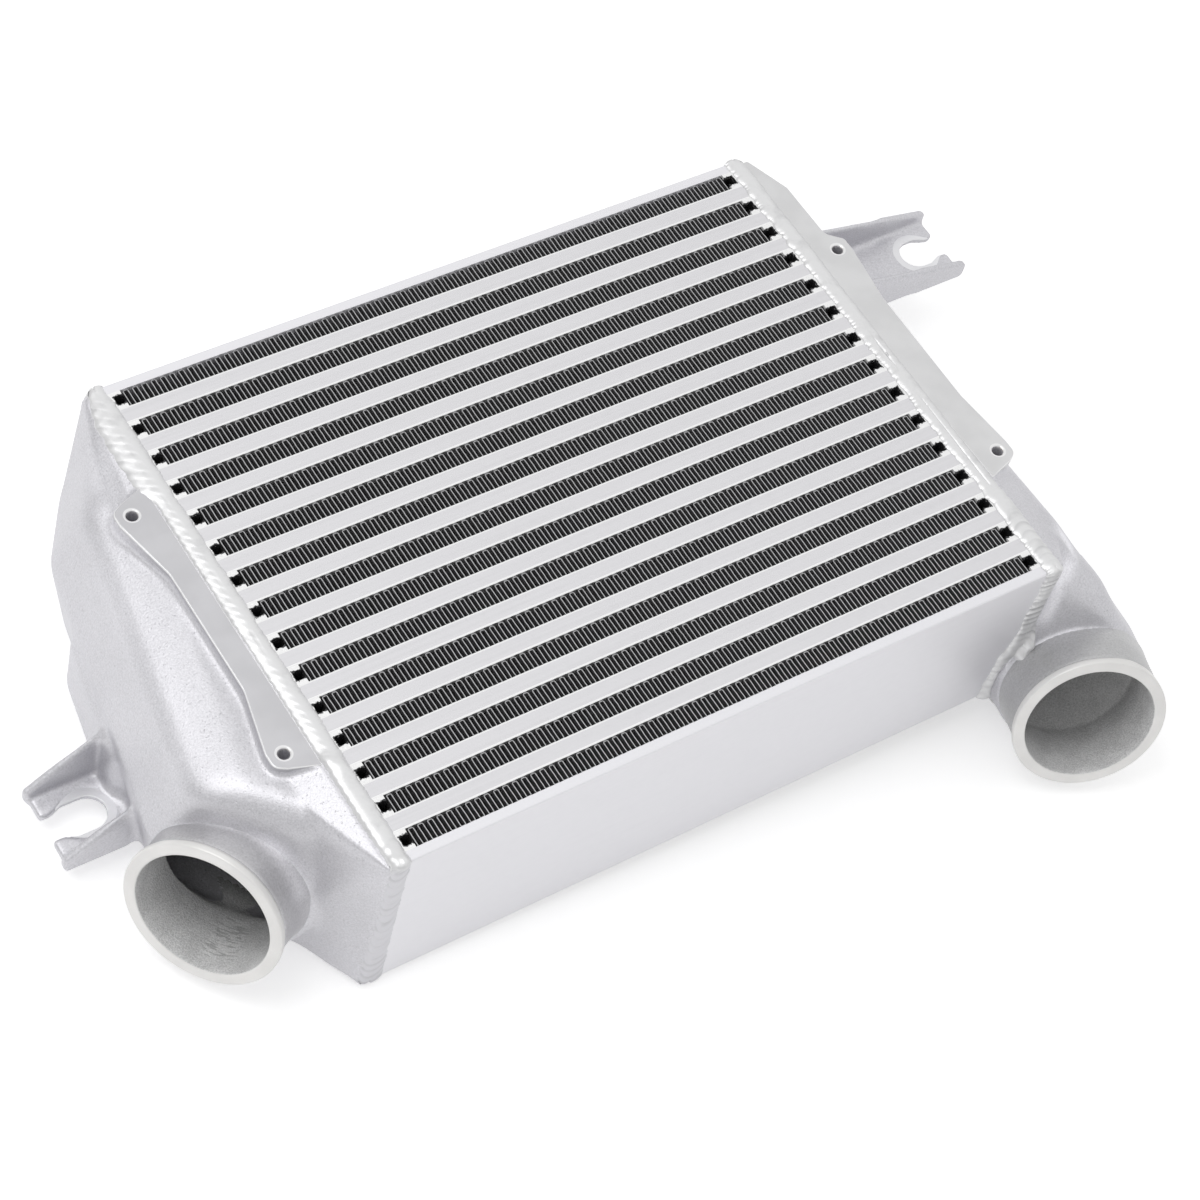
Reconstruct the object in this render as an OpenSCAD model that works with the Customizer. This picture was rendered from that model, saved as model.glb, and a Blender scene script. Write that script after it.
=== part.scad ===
// Charge-air cooler: a bar-and-plate core between two cast end tanks.
// Cooling air passes through the fin rows along Z, charge air through the flat tubes along X.
// The origin is the centre of the four tapped holes, on the top face. +Y is the back, +Z is up.

/* [Core] */
// Length of the core from seam to seam
core_l = 311; // [240:1:380]
// Thickness of the core, the way the cooling air flows
core_t = 89; // [76:1:110]
// Number of air-fin rows
rows = 15; // [11:2:17]
// Height of one air-fin row
row_h = 8.4; // [6:0.1:11]
// Height of one charge tube, sheets included
tube_h = 7.5; // [5:0.1:9]
// Thickness of a parting sheet
sheet_t = 0.6; // [0.4:0.1:1]
// Thickness of a side plate
side_t = 4.5; // [2:0.5:8]
// Radius along the outer edges of a side plate
side_r = 0.8; // [0.4:0.1:1.5]
// Depth of the bars that close a tube along its edges
close_d = 8; // [5:0.5:12]

/* [Fins] */
// Sloping walls in one air fin
fin_walls = 98; // [40:2:110]
// Height of the folds' metal across the row
fin_fold = 0.9; // [0.6:0.1:1.5]
// How far the fins stand back from the core's faces
fin_recess = 0.8; // [0.2:0.1:3]
// Gap between a fold and the sheet it is brazed to
braze_gap = 0.05; // [0.02:0.01:0.2]
// Sloping walls in one turbulator
turb_walls = 24; // [8:2:40]
// How far a turbulator stands back from the tube's mouths
turb_recess = 4; // [1:0.5:12]

/* [End bars] */
// Depth of the grooved bar at each end of a fin row
end_bar_d = 9; // [6:0.5:12]
// Depth of its groove
groove_d = 4; // [2:0.5:4.5]
// Width of the groove at its mouth
groove_mouth = 3; // [2:0.1:3.6]
// Width of the groove at its widest
groove_w = 4.4; // [3.8:0.1:5]

/* [Tanks] */
// Wall of the castings
wall = 3.5; // [2.5:0.5:5]
// Height of the widest line of a tank above the core's bottom
waist_h = 44; // [36:1:52]
// How far a tank's roof lies under the core's top
roof_drop = 5; // [3:0.5:8]
// How far the ridge lies under the core's top
ridge_drop = 11; // [9:0.5:15]
// How far the ridge stands in from the widest line
ridge_in = 13; // [8:0.5:16]
// How far the foot stands in from the widest line
foot_in = 7; // [3:0.5:12]
// Distance from the seam at which the strip has run out into the tank's form
flare_l = 18; // [12:1:24]
// Wall round the mouth that the tank opens to the core
header_wall = 8; // [6:0.5:12]
// Height of the tank's foot, where it rounds in to the bottom
foot_h = 6; // [4:0.5:10]

/* [Left tank] */
// Reach beyond the seam at the back corner
left_back_reach = 10.5; // [9:0.5:18]
// Reach beyond the seam at the shoulder
left_shoulder_reach = 37; // [32:0.5:44]
// Distance of the shoulder from the back face
left_shoulder_y = 40; // [30:1:50]
// Reach beyond the seam at the front corner
left_front_reach = 61.5; // [54:0.5:70]
// Distance of the front corner from the front face
left_front_y = 70; // [62:1:80]
// Length of the swelling below the widest line, behind the fork
swell_l = 52; // [30:1:60]
// How far the swelling stands out
swell_out = 2; // [0.5:0.5:5]

/* [Right tank] */
// Reach beyond the seam at the back corner
right_back_reach = 10.5; // [9:0.5:18]
// Reach beyond the seam at the shoulder
right_shoulder_reach = 31.5; // [28:0.5:42]
// Distance of the shoulder from the back face
right_shoulder_y = 36; // [30:1:50]
// Reach beyond the seam at the front corner
right_front_reach = 38.5; // [34:0.5:50]
// Distance of the front corner from the front face
right_front_y = 15; // [12:1:30]
// Length of the tank that the elbow to the port grows out of
elbow_l = 50; // [40:1:70]
// Step from the cast elbow down to the turned neck
elbow_step = 1; // [0.6:0.2:3]
// Distance of the elbow's bend behind the neck
elbow_bend_l = 16; // [12:1:22]
// Radius of the elbow at its bend
elbow_bend_r = 31; // [28:0.5:33]
// How far the bend lies above the port's own axis
elbow_bend_rise = 3; // [0:0.5:6]

/* [Hose ports] */
// Outer radius of a port's neck, where the hose sits
port_r = 31.75; // [28:0.25:34]
// Radius of the bore
bore_r = 28; // [24:0.25:29]
// Radius of the raised lip
lip_r = 33.25; // [32.5:0.25:36]
// Width of the lip
lip_w = 5; // [3:0.5:8]
// Length of the turned neck, lip included
neck_l = 26; // [20:1:34]
// Radius of the fillet at the neck's root
neck_fillet = 4; // [2:0.5:5]
// Length of the left neck's root inside the tank
neck_root = 18; // [12:0.5:22]
// Length of the left port's bore from the lip into the tank
bore_l = 44; // [40:1:60]
// Centre of the left lip beyond the seam
left_port_x = 58.1; // [52:0.1:66]
// Centre of the left lip from the front face
left_port_y = 35.5; // [30:0.1:42]
// Centre of the left lip under the core's top
left_port_z = 48; // [42:0.5:54]
// Turn of the left port from straight outwards to the front
left_port_turn = 31.5; // [20:0.5:40]
// Rise of the left port
left_port_rise = 12.5; // [0:0.5:20]
// Centre of the right lip beyond the seam
right_port_x = 12.5; // [8:0.1:20]
// Centre of the right lip before the front face
right_port_y = 42; // [36:0.1:50]
// Centre of the right lip under the core's top
right_port_z = 65; // [58:0.5:70]
// Turn of the right port from straight forwards to the core
right_port_turn = 25.4; // [10:0.1:35]
// Rise of the right port
right_port_rise = 17.4; // [0:0.1:22]

/* [Top flange] */
// Distance between the tapped holes along the core
hole_dx = 341; // [330:0.5:420]
// Distance between the tapped holes across the core
hole_dy = 119; // [90:0.5:150]
// Radius of the tapped holes, an M6 thread's drill
tap_r = 2.5; // [2:0.1:4]
// Depth of the tapped holes
tap_l = 14; // [8:0.5:18]
// Chamfer at the mouth of a tapped hole
tap_chamfer = 0.5; // [0.3:0.1:1]
// Metal round a tapped hole
ear_r = 6.5; // [5:0.5:9]
// Distance of the left flange's edge from the seam between the ears
left_strip_reach = 15; // [12:0.5:20]
// Distance of the right flange's edge from the seam between the ears
right_strip_reach = 18; // [12:0.5:20]
// Length over which the flange widens to an ear
ear_taper = 24; // [12:1:34]
// Depth of the flange's side that is cast with the tank
pad_t = 13; // [8:0.5:16]

/* [Mounting forks] */
// Width of a fork over its ribs
fork_w = 37; // [32:1:46]
// Thickness of a fork's plate
fork_t = 4; // [3:0.5:6]
// Height of the plate's top over the core's bottom
fork_h = 12.5; // [8:0.5:18]
// Thickness of a rib
rib_t = 3.5; // [2.5:0.5:5]
// Height of a rib at the fork's tip, over the plate
rib_tip = 5; // [3:0.5:8]
// Width of the slot
slot_w = 15.5; // [12:0.5:18]
// Width of the slot's mouth
slot_mouth = 11; // [8:0.5:12]
// Depth of the left fork's slot
left_slot_l = 27; // [20:0.5:32]
// Depth of the right fork's slot
right_slot_l = 23; // [18:0.5:28]
// Radius of the turned seat round the slot's end
seat_r = 12.5; // [10:0.5:14]
// Depth of the turned seat
seat_d = 0.6; // [0.2:0.1:1]
// Tip of the left fork beyond the seam
left_fork_reach = 85; // [78:0.5:98]
// Middle of the left fork, from the core's middle to the front
left_fork_y = 12; // [5:0.5:20]
// Tip of the right fork beyond the seam
right_fork_reach = 121.5; // [108:0.5:138]
// Middle of the right fork, from the core's middle to the back
right_fork_y = 89.5; // [80:0.5:92]

/* [Welds] */
// Width of the weld bead round each seam
bead_w = 9; // [6:0.5:11]
// Height of the bead
bead_h = 2.2; // [1:0.1:3]

/* [Hidden] */
$fn = 64;
pitch = row_h + tube_h;
core_w = rows * row_h + (rows - 1) * tube_h + 2 * side_t;
seam = core_l / 2;
half_w = core_w / 2;
header_w = bead_w / 2;
fin_half = seam - end_bar_d - 0.2;
arc_steps = 8;
plan_back = 60;
lap = 0.3;
strip_end = 15;
lip_edge = 0.8;
lip_slope = 1.2;
root_widening = 1.5;
elbow_rim = 1.5;
pad_margin = 2;
strip_tail = 22;
slot_lip = 5;
swell_start = 22;
swell_fade = 12;
swell_r = 14;
end_share = 0.45;
back_share = 0.12;

// Places of the rows and tubes, counted from the back
function row_y(i) = (rows - 1) * pitch / 2 - i * pitch;
function tube_y(i) = row_y(i) - pitch / 2;
function numbered(name, i) = str(name, i < 9 ? "_0" : "_", i + 1);

// Vectors and rounded outlines

function unit(v) = v / norm(v);
function turn(d) = d > 180 ? d - 360 : d < -180 ? d + 360 : d;

// Arc of radius r that rounds corner b between its neighbours a and c
function corner_arc(a, b, c, r, steps = arc_steps) =
    let (u = unit(a - b), v = unit(c - b), half = acos(u * v) / 2,
         o = b + unit(u + v) * r / sin(half),
         p = b + u * r / tan(half) - o,
         q = b + v * r / tan(half) - o,
         from = atan2(p.y, p.x),
         sweep = turn(atan2(q.y, q.x) - from))
    [for (k = [0:steps]) o + r * [cos(from + sweep * k / steps), sin(from + sweep * k / steps)]];

// Outline with each corner rounded by its own radius, zero keeps it sharp
function rounded(pts, radii) =
    let (n = len(pts))
    [for (i = [0:n - 1]) each radii[i] > 0
        ? corner_arc(pts[(i + n - 1) % n], pts[i], pts[(i + 1) % n], radii[i])
        : [pts[i]]];

// Meeting point of two lines, each given by two points
function crossing(a, b, c, d) =
    let (r = b - a, s = d - c, t = ((c.x - a.x) * s.y - (c.y - a.y) * s.x) / (r.x * s.y - r.y * s.x))
    a + r * t;

// An edge moved to the inner side of an outline that runs against the clock
function moved(a, b, d) = let (n = unit([a.y - b.y, b.x - a.x])) [a + n * d, b + n * d];

// Open outline a..e with its four outer edges moved in, ends kept on the seam plane
function inset_plan(plan, d) =
    let (e = [for (i = [0:len(plan) - 2]) moved(plan[i], plan[i + 1], d[i])],
         x0 = plan[0].x, last = len(e) - 1)
    concat(
        [crossing(e[0][0], e[0][1], [x0, 0], [x0, 1])],
        [for (i = [1:last]) crossing(e[i - 1][0], e[i - 1][1], e[i][0], e[i][1])],
        [crossing(e[last][0], e[last][1], [x0, 0], [x0, 1])]);

// Solid through rings of equally many points, each ring at its own height
module loft(rings, heights) {
    n = len(rings[0]);
    m = len(rings);
    points = [for (k = [0:m - 1]) for (p = rings[k]) [p.x, p.y, heights[k]]];
    sides = [for (k = [0:m - 2]) for (i = [0:n - 1])
        let (a = k * n + i, b = k * n + (i + 1) % n)
        each [[a, a + n, b + n], [a, b + n, b]]];
    bottom = [for (i = [0:n - 1]) i];
    top = [for (i = [0:n - 1]) m * n - 1 - i];
    polyhedron(points = points, faces = concat([bottom], sides, [top]));
}

// Corrugated sheet, as an outline in X and Y
function zigzag(length, height, walls, fold) =
    let (mid = [for (k = [0:walls]) [length * (k / walls - 0.5), (k % 2 == 0 ? 1 : -1) * (height - fold) / 2]])
    concat([for (p = mid) p - [0, fold / 2]], [for (k = [walls:-1:0]) mid[k] + [0, fold / 2]]);

// Core

module air_fin(i) {
    color("dimgray")
    translate([0, row_y(i), -core_t + fin_recess])
    linear_extrude(core_t - 2 * fin_recess)
    polygon(zigzag(2 * fin_half, row_h - 2 * braze_gap, fin_walls, fin_fold));
}

// Two sheets to a tube, with the fins on their outer sides
module parting_sheets() {
    color("gainsboro")
    for (i = [0:rows - 2], side = [-1, 1])
        translate([-seam, tube_y(i) + side * (tube_h - sheet_t) / 2 - sheet_t / 2, -core_t])
        cube([core_l, sheet_t, core_t]);
}

// The bars that close one tube at the top and at the bottom
module tube_bars(i) {
    bar_h = tube_h - 2 * sheet_t;
    color("silver")
    for (z = [-core_t, -close_d])
        translate([-seam, tube_y(i) - bar_h / 2, z])
        cube([core_l, bar_h, close_d]);
}

module turbulator(i) {
    color("gray")
    translate([-seam + turb_recess, tube_y(i), -core_t / 2])
    rotate([90, 0, 90])
    linear_extrude(core_l - 2 * turb_recess)
    rotate(90)
    polygon(zigzag(core_t - 2 * close_d - 2 * braze_gap, tube_h - 2 * sheet_t - 2 * braze_gap,
        turb_walls, fin_fold));
}

// Bar with a groove that faces the fins, drawn for the end at +X
module end_bar(i) {
    x0 = seam - end_bar_d;
    m = groove_mouth / 2;
    g = groove_w / 2;
    h = row_h / 2;
    translate([0, row_y(i), -core_t])
    linear_extrude(core_t)
    polygon([[x0, -h], [seam, -h], [seam, h], [x0, h], [x0, m], [x0 + groove_d / 3, g],
        [x0 + groove_d * 0.8, g], [x0 + groove_d, m], [x0 + groove_d, -m],
        [x0 + groove_d * 0.8, -g], [x0 + groove_d / 3, -g], [x0, -m]]);
}

module end_bars() {
    color("silver")
    for (i = [0:rows - 1]) end_bar(i);
}

// Flat bar with its outer edges rounded, drawn for the back
module side_plate() {
    color("lightgray")
    translate([-seam, half_w, 0])
    rotate([90, 0, 90])
    linear_extrude(core_l)
    polygon(rounded([[-side_t, 0], [-side_t, -core_t], [0, -core_t], [0, 0]], [0, 0, side_r, side_r]));
}

// Welds

// Low arch that lies on the metal beside a seam, X along its width and Y up
module bead_section() {
    r = (bead_w * bead_w / 4 + bead_h * bead_h) / (2 * bead_h);
    intersection() {
        translate([0, bead_h - r]) circle(r, $fn = 96);
        translate([-bead_w / 2, 0]) square([bead_w, bead_h]);
    }
}

// Quarter turn of the bead from the top onto the back
module weld_corner() {
    mirror([0, 0, 1])
    rotate([0, 90, 0])
    rotate_extrude(angle = 90, $fn = 64)
    rotate(-90)
    bead_section();
}

// Loop round the seam at +X
module seam_weld() {
    color("gainsboro")
    translate([seam, 0, 0]) {
        for (a = [0, 180])
            translate([0, 0, -core_t / 2])
            rotate([a, 0, 0])
            translate([0, half_w, core_t / 2])
            rotate([90, 0, 0])
            linear_extrude(core_w)
            bead_section();
        for (a = [0, 180])
            rotate([0, 0, a])
            translate([0, half_w, -core_t])
            linear_extrude(core_t)
            bead_section();
        for (sy = [-1, 1], sz = [0, 1])
            translate([0, sy * half_w, -sz * core_t])
            mirror([0, sy < 0 ? 1 : 0, 0])
            mirror([0, 0, sz])
            weld_corner();
    }
}

// Tanks, drawn for the end at +X

// Plan at the widest line: front end, front corner, shoulder, back corner, back end.
// Both ends lie behind the seam plane, which cuts them off
function tank_plan(back, shoulder, shoulder_y, front, front_y) = [
    [seam - plan_back, -half_w - plan_back * front_y / front],
    [seam + front, -half_w + front_y],
    [seam + shoulder, half_w - shoulder_y],
    [seam + back, half_w],
    [seam - plan_back, half_w]];

left_plan = tank_plan(left_back_reach, left_shoulder_reach, left_shoulder_y,
    left_front_reach, left_front_y);
right_plan = tank_plan(right_back_reach, right_shoulder_reach, right_shoulder_y,
    right_front_reach, right_front_y);
plan_radii = [0, 16, 24, 8, 0];

// Heights of the tank's form over the core's bottom, each with its inset from the widest line
function tank_levels() =
    let (ridge = core_t - ridge_drop, roof = core_t - roof_drop)
    [[0, foot_in + foot_h / 2], [foot_h / 3, foot_in + foot_h / 8], [foot_h, foot_in - 0.5],
     [waist_h - 4, 0.4], [waist_h, 0],
     [(waist_h + ridge) / 2, ridge_in * 0.42], [ridge - 5, ridge_in * 0.78], [ridge, ridge_in * 1.12],
     [ridge + 3, ridge_in * 1.6], [roof, ridge_in * 2.4]];

// Outline of a tank at one inset: the ends move less than the long side
function tank_ring(plan, d, skin) =
    rounded(inset_plan(plan, [d * end_share + skin, d + skin, d + skin, d * back_share + skin]),
        plan_radii);

// The tank's rounded form beyond x0; a skin above zero gives the hollow inside it
module tank_form(plan, x0, skin = 0) {
    levels = tank_levels();
    low = skin;
    high = core_t - roof_drop - skin;
    kept = [for (l = levels) if (l[0] > low + 1 && l[0] < high - 1) l];
    all = concat([[low, levels[0][1]]], kept, [[high, levels[len(levels) - 1][1]]]);
    intersection() {
        translate([0, 0, -core_t])
        loft([for (l = all) tank_ring(plan, l[1], skin)], [for (l = all) l[0]]);
        translate([x0, -core_w, -core_t]) cube([core_l, 2 * core_w, core_t]);
    }
}

// The tank's end beside the core: from a strip as high and wide as the core, less a margin,
// to the tank's own form
module flare(plan, x0, depth, margin = 0, skin = 0) {
    hull() {
        translate([x0, -half_w + margin, -core_t + margin])
        cube([depth, core_w - 2 * margin, core_t - 2 * margin]);
        intersection() {
            tank_form(plan, seam, skin + lap);
            translate([seam + flare_l, -core_w, -core_t]) cube([lap, 2 * core_w, core_t]);
        }
    }
}

module tank_shell(plan) {
    tank_form(plan, seam + flare_l);
    flare(plan, seam, header_w);
}

module tank_hollow(plan) {
    tank_form(plan, seam + flare_l, wall);
    flare(plan, seam - 1, 1.5, header_wall, wall);
}

// Hose ports, with the outward axis along +Z and the lip's face at the origin

// The neck widens by a fillet at its root, which runs on into the tank as a slight cone
module port_solid(fillet_r, root, widening = 0) {
    fillet = [for (k = [0:arc_steps]) let (a = 90 * k / arc_steps)
        [port_r + fillet_r * (1 - cos(a)), -neck_l + fillet_r * (1 - sin(a))]];
    rotate_extrude($fn = 96)
    polygon(concat(
        [[0, 0], [lip_r - lip_edge, 0], [lip_r, -lip_edge], [lip_r, -lip_w + lip_slope],
         [port_r, -lip_w]],
        fillet,
        [[port_r + fillet_r + widening, -neck_l - root], [0, -neck_l - root]]));
}

module port_bore(length) {
    translate([0, 0, -length]) cylinder(r = bore_r, h = length + 1, $fn = 96);
}

module at_left_port() {
    translate([seam + left_port_x, -half_w + left_port_y, -left_port_z])
    rotate([0, 90 - left_port_rise, -left_port_turn])
    children();
}

module at_right_port() {
    translate([seam + right_port_x, -half_w - right_port_y, -right_port_z])
    rotate([0, 90 - right_port_rise, -90 - right_port_turn])
    children();
}

// Top flange with its ears round the tapped holes

// Outer edge of a flange round one ear, from the strip between the ears to the flange's end
function ear_edge(strip, y, front_ear) =
    let (x0 = seam + strip, x1 = hole_dx / 2 + ear_r, s = front_ear ? 1 : -1)
    [[x0, y + s * (ear_r + ear_taper)], [x1, y + s * ear_r * 0.4], [x1, y - s * ear_r * 0.6],
     [x1 - ear_r * 0.7, y - s * ear_r]];

module left_pad() {
    x0 = seam + 1;
    y = hole_dy / 2;
    front = ear_edge(left_strip_reach, -y, true);
    back = ear_edge(left_strip_reach, y, false);
    outline = concat([[x0, -y - ear_r * 1.8]], [front[3], front[2], front[1], front[0]],
        [back[0], back[1], back[2], back[3]], [[x0, y + ear_r * 1.9]]);
    translate([0, 0, -pad_t])
    linear_extrude(pad_t)
    polygon(rounded(outline, [0, 4, 4, 8, 20, 20, 8, 4, 4, 0]));
}

module right_pad() {
    x0 = seam + 1;
    y = hole_dy / 2;
    front = ear_edge(right_strip_reach, -y, true);
    back = ear_edge(right_strip_reach, y, false);
    outline = concat([[x0, -y - ear_r * 1.8]], [front[3], front[2], front[1], front[0]],
        [back[0], back[1], back[2]],
        [[seam + strip_end, y + ear_r * 1.5], [seam + strip_end - 0.5, half_w - strip_tail],
         [seam + header_w + pad_margin, half_w - pad_margin], [x0, half_w - pad_margin]]);
    translate([0, 0, -pad_t])
    linear_extrude(pad_t)
    polygon(rounded(outline, [0, 4, 4, 8, 20, 20, 8, 3, 4, 5, 1.5, 0]));
}

module tapped_holes() {
    for (s = [-1, 1]) translate([hole_dx / 2, s * hole_dy / 2, 0]) {
        translate([0, 0, -tap_l]) cylinder(r = tap_r, h = tap_l + 1, $fn = 48);
        translate([0, 0, -tap_chamfer])
        cylinder(r1 = tap_r, r2 = tap_r + tap_chamfer + 0.1, h = tap_chamfer + 0.1, $fn = 48);
    }
}

module tap_bosses() {
    for (s = [-1, 1]) translate([hole_dx / 2, s * hole_dy / 2, -tap_l - wall])
        cylinder(r = tap_r + wall, h = tap_l + wall, $fn = 48);
}

// Mounting forks, drawn with the tip at +X and the slot open to it

module fork_plan(length, slot_l) {
    w = fork_w / 2;
    difference() {
        polygon(rounded([[-length, -w], [-1.5, -w], [-1.5, w], [-length, w]], [0, 3, 3, 0]));
        slot_plan(slot_l);
    }
}

// Round-ended slot whose mouth is drawn in by two lips
module slot_plan(slot_l) {
    s = slot_w / 2;
    m = slot_mouth / 2;
    lip = slot_lip;
    wide = 2.3 * lip;
    translate([-slot_l + s, 0]) circle(s, $fn = 64);
    polygon([[-slot_l + s, -s], [-wide, -s], [-lip - 1, -m], [-lip / 2, -m], [1, -m - 2],
        [1, m + 2], [-lip / 2, m], [-lip - 1, m], [-wide, s], [-slot_l + s, s]]);
}

// root is the length from the tip to the tank, top the ribs' height there over the plate
module fork(root, top, slot_l) {
    translate([0, 0, -fork_t]) difference() {
        linear_extrude(fork_t) fork_plan(root, slot_l);
        translate([-slot_l + slot_w / 2, 0, fork_t - seat_d]) cylinder(r = seat_r, h = 1, $fn = 64);
    }
    for (side = [-1, 1])
        translate([0, side * (fork_w - rib_t) / 2 + rib_t / 2, 0])
        rotate([90, 0, 0])
        linear_extrude(rib_t)
        polygon(rounded([[-root, -fork_t], [-1.5, -fork_t], [0, -fork_t + 2], [0, rib_tip - 1],
            [-2.5, rib_tip + 0.5], [-root, top]], [0, 0.5, 1, 1.5, 1.5, 0]));
}

module left_tank() {
    color("silver")
    mirror([1, 0, 0])
    difference() {
        union() {
            difference() {
                union() {
                    tank_shell(left_plan);
                    left_swelling();
                    left_fork();
                    left_neck();
                    left_pad();
                }
                tank_hollow(left_plan);
            }
            tap_bosses();
        }
        at_left_port() port_bore(bore_l);
        tapped_holes();
    }
}

// Neck with its root, which stays clear of the weld and of the tank's underside
module left_neck() {
    intersection() {
        at_left_port() port_solid(neck_fillet, neck_root, root_widening);
        translate([seam + header_w + 1, -core_w, -core_t + 0.5])
        cube([core_l, 2 * core_w, core_t + lip_r]);
    }
}

// Low rounded bulge of the wall behind the fork, below the widest line
module left_swelling() {
    along = unit(left_plan[1] - left_plan[2]);
    out = [-along.y, along.x];
    start = left_plan[2] + along * swell_start;
    end = start + along * (swell_l + 2 * swell_fade);
    inner = out * 2 * foot_in;
    translate([0, 0, -core_t + fork_h - fork_t])
    linear_extrude(waist_h - fork_h + fork_t - foot_h)
    polygon(rounded(
        [start - inner / 2, start - inner, end - inner, end - inner / 2,
         end - along * swell_fade + out * swell_out, start + along * swell_fade + out * swell_out],
        [0, 0, 0, 0, swell_r, swell_r]));
}

module left_fork() {
    root = left_fork_reach - left_shoulder_reach;
    translate([seam + left_fork_reach, -left_fork_y, -core_t + fork_h])
    fork(root, waist_h - fork_h + 6, left_slot_l);
}

module right_fork() {
    root = right_fork_reach - right_back_reach;
    translate([seam + right_fork_reach, right_fork_y, -core_t + fork_h])
    fork(root, waist_h - fork_h, right_slot_l);
}

// Elbow from the front of the tank to the right port, round at the neck
module elbow() {
    hull() {
        at_right_port() translate([0, 0, -neck_l - elbow_rim])
            cylinder(r = port_r + elbow_step, h = elbow_rim, $fn = 64);
        translate([0, 0, elbow_bend_rise])
        at_right_port() translate([0, 0, -neck_l - elbow_bend_l])
            cylinder(r = elbow_bend_r, h = elbow_rim, $fn = 64);
        elbow_root(seam + header_w, 0);
    }
}

// Elbow and port, cut clear of the core and of the weld round it
module port_elbow() {
    difference() {
        union() {
            elbow();
            at_right_port() port_solid(0, 1);
        }
        weld_room(0);
    }
}

// The core's and the weld's own room, which the elbow leaves free
module weld_room(margin) {
    translate([-seam, -half_w - bead_h - margin, -core_t - bead_h - margin])
    cube([core_l + header_w + margin, core_w, core_t + 2 * (bead_h + margin)]);
}

module elbow_hollow() {
    difference() {
        hull() {
            at_right_port() translate([0, 0, -neck_l - 2]) cylinder(r = bore_r + 1, h = 2, $fn = 48);
            elbow_root(seam + flare_l - wall, wall + lap);
        }
        weld_room(wall);
    }
}

// Stretch of the tank's form beyond x0 that the elbow starts from
module elbow_root(x0, skin) {
    intersection() {
        tank_form(right_plan, x0, skin);
        translate([seam, -core_w, -core_t]) cube([core_l, core_w - half_w + elbow_l, core_t]);
    }
}

module right_tank() {
    color("silver")
    difference() {
        union() {
            difference() {
                union() {
                    tank_shell(right_plan);
                    port_elbow();
                    right_fork();
                    right_pad();
                }
                tank_hollow(right_plan);
                elbow_hollow();
            }
            tap_bosses();
        }
        at_right_port() port_bore(neck_l + 1);
        tapped_holes();
    }
}

left_tank();
right_tank();
mirror([0, 1, 0]) side_plate();  // front_side_plate
side_plate();  // back_side_plate
mirror([1, 0, 0]) end_bars();  // left_end_bars
end_bars();  // right_end_bars
mirror([1, 0, 0]) seam_weld();  // left_weld
seam_weld();  // right_weld
parting_sheets();
for (i = [0:rows - 1])
    air_fin(i);
for (i = [0:rows - 2])
    tube_bars(i);
for (i = [0:rows - 2])
    turbulator(i);
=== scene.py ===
"""Looks of the charge-air cooler: cast tanks, ripple welds and a bar-and-plate core."""
import logging
import math
from dataclasses import dataclass, field
from enum import Enum
from typing import Any, Sequence

import bpy
import numpy as np
from mathutils import Matrix, Vector


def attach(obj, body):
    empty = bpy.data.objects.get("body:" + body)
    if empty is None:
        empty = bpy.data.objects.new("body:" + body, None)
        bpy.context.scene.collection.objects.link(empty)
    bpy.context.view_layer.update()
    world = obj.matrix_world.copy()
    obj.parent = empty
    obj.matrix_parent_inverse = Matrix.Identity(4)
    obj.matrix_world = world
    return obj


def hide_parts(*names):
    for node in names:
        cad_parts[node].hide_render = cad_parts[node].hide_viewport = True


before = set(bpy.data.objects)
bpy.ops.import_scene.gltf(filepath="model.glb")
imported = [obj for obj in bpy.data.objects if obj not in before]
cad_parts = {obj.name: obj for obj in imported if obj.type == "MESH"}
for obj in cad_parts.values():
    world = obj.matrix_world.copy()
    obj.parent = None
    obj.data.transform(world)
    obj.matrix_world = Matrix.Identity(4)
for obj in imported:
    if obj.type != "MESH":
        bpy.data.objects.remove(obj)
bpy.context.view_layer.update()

logging.basicConfig(level=logging.INFO, format="%(message)s")
LOG = logging.getLogger("intercooler")

MM = 0.001
Triple = tuple[float, float, float]
Span = tuple[float, float]

# Sizes that the parts share, in millimetres, as in the CAD
SEAM = 155.5
HALF_W = 120.0
CORE_T = 89.0
ROWS = 15
PITCH = 15.9
ROW_H = 8.4
BORE_R = 28.0
NECK_R = 31.75
LIP_R = 33.25
HOLE_X = 170.5
HOLE_Y = 59.5
SEAT_Z = -77.1
HALF_T = CORE_T * MM / 2  # metres, for the shaders
LEFT_MOUTH: Triple = (-213.6, -84.5, -48.0)
LEFT_AXIS: Triple = (-0.832429, -0.510113, 0.21644)
RIGHT_MOUTH: Triple = (168.0, -162.0, -65.0)
RIGHT_AXIS: Triple = (-0.409307, -0.861999, 0.299041)


class Side(Enum):
    """The two ends of the cooler."""

    LEFT = "left"
    RIGHT = "right"

    @property
    def sign(self) -> int:
        """Direction along X from the middle to this end."""
        return -1 if self is Side.LEFT else 1


# Shader graphs


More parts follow.
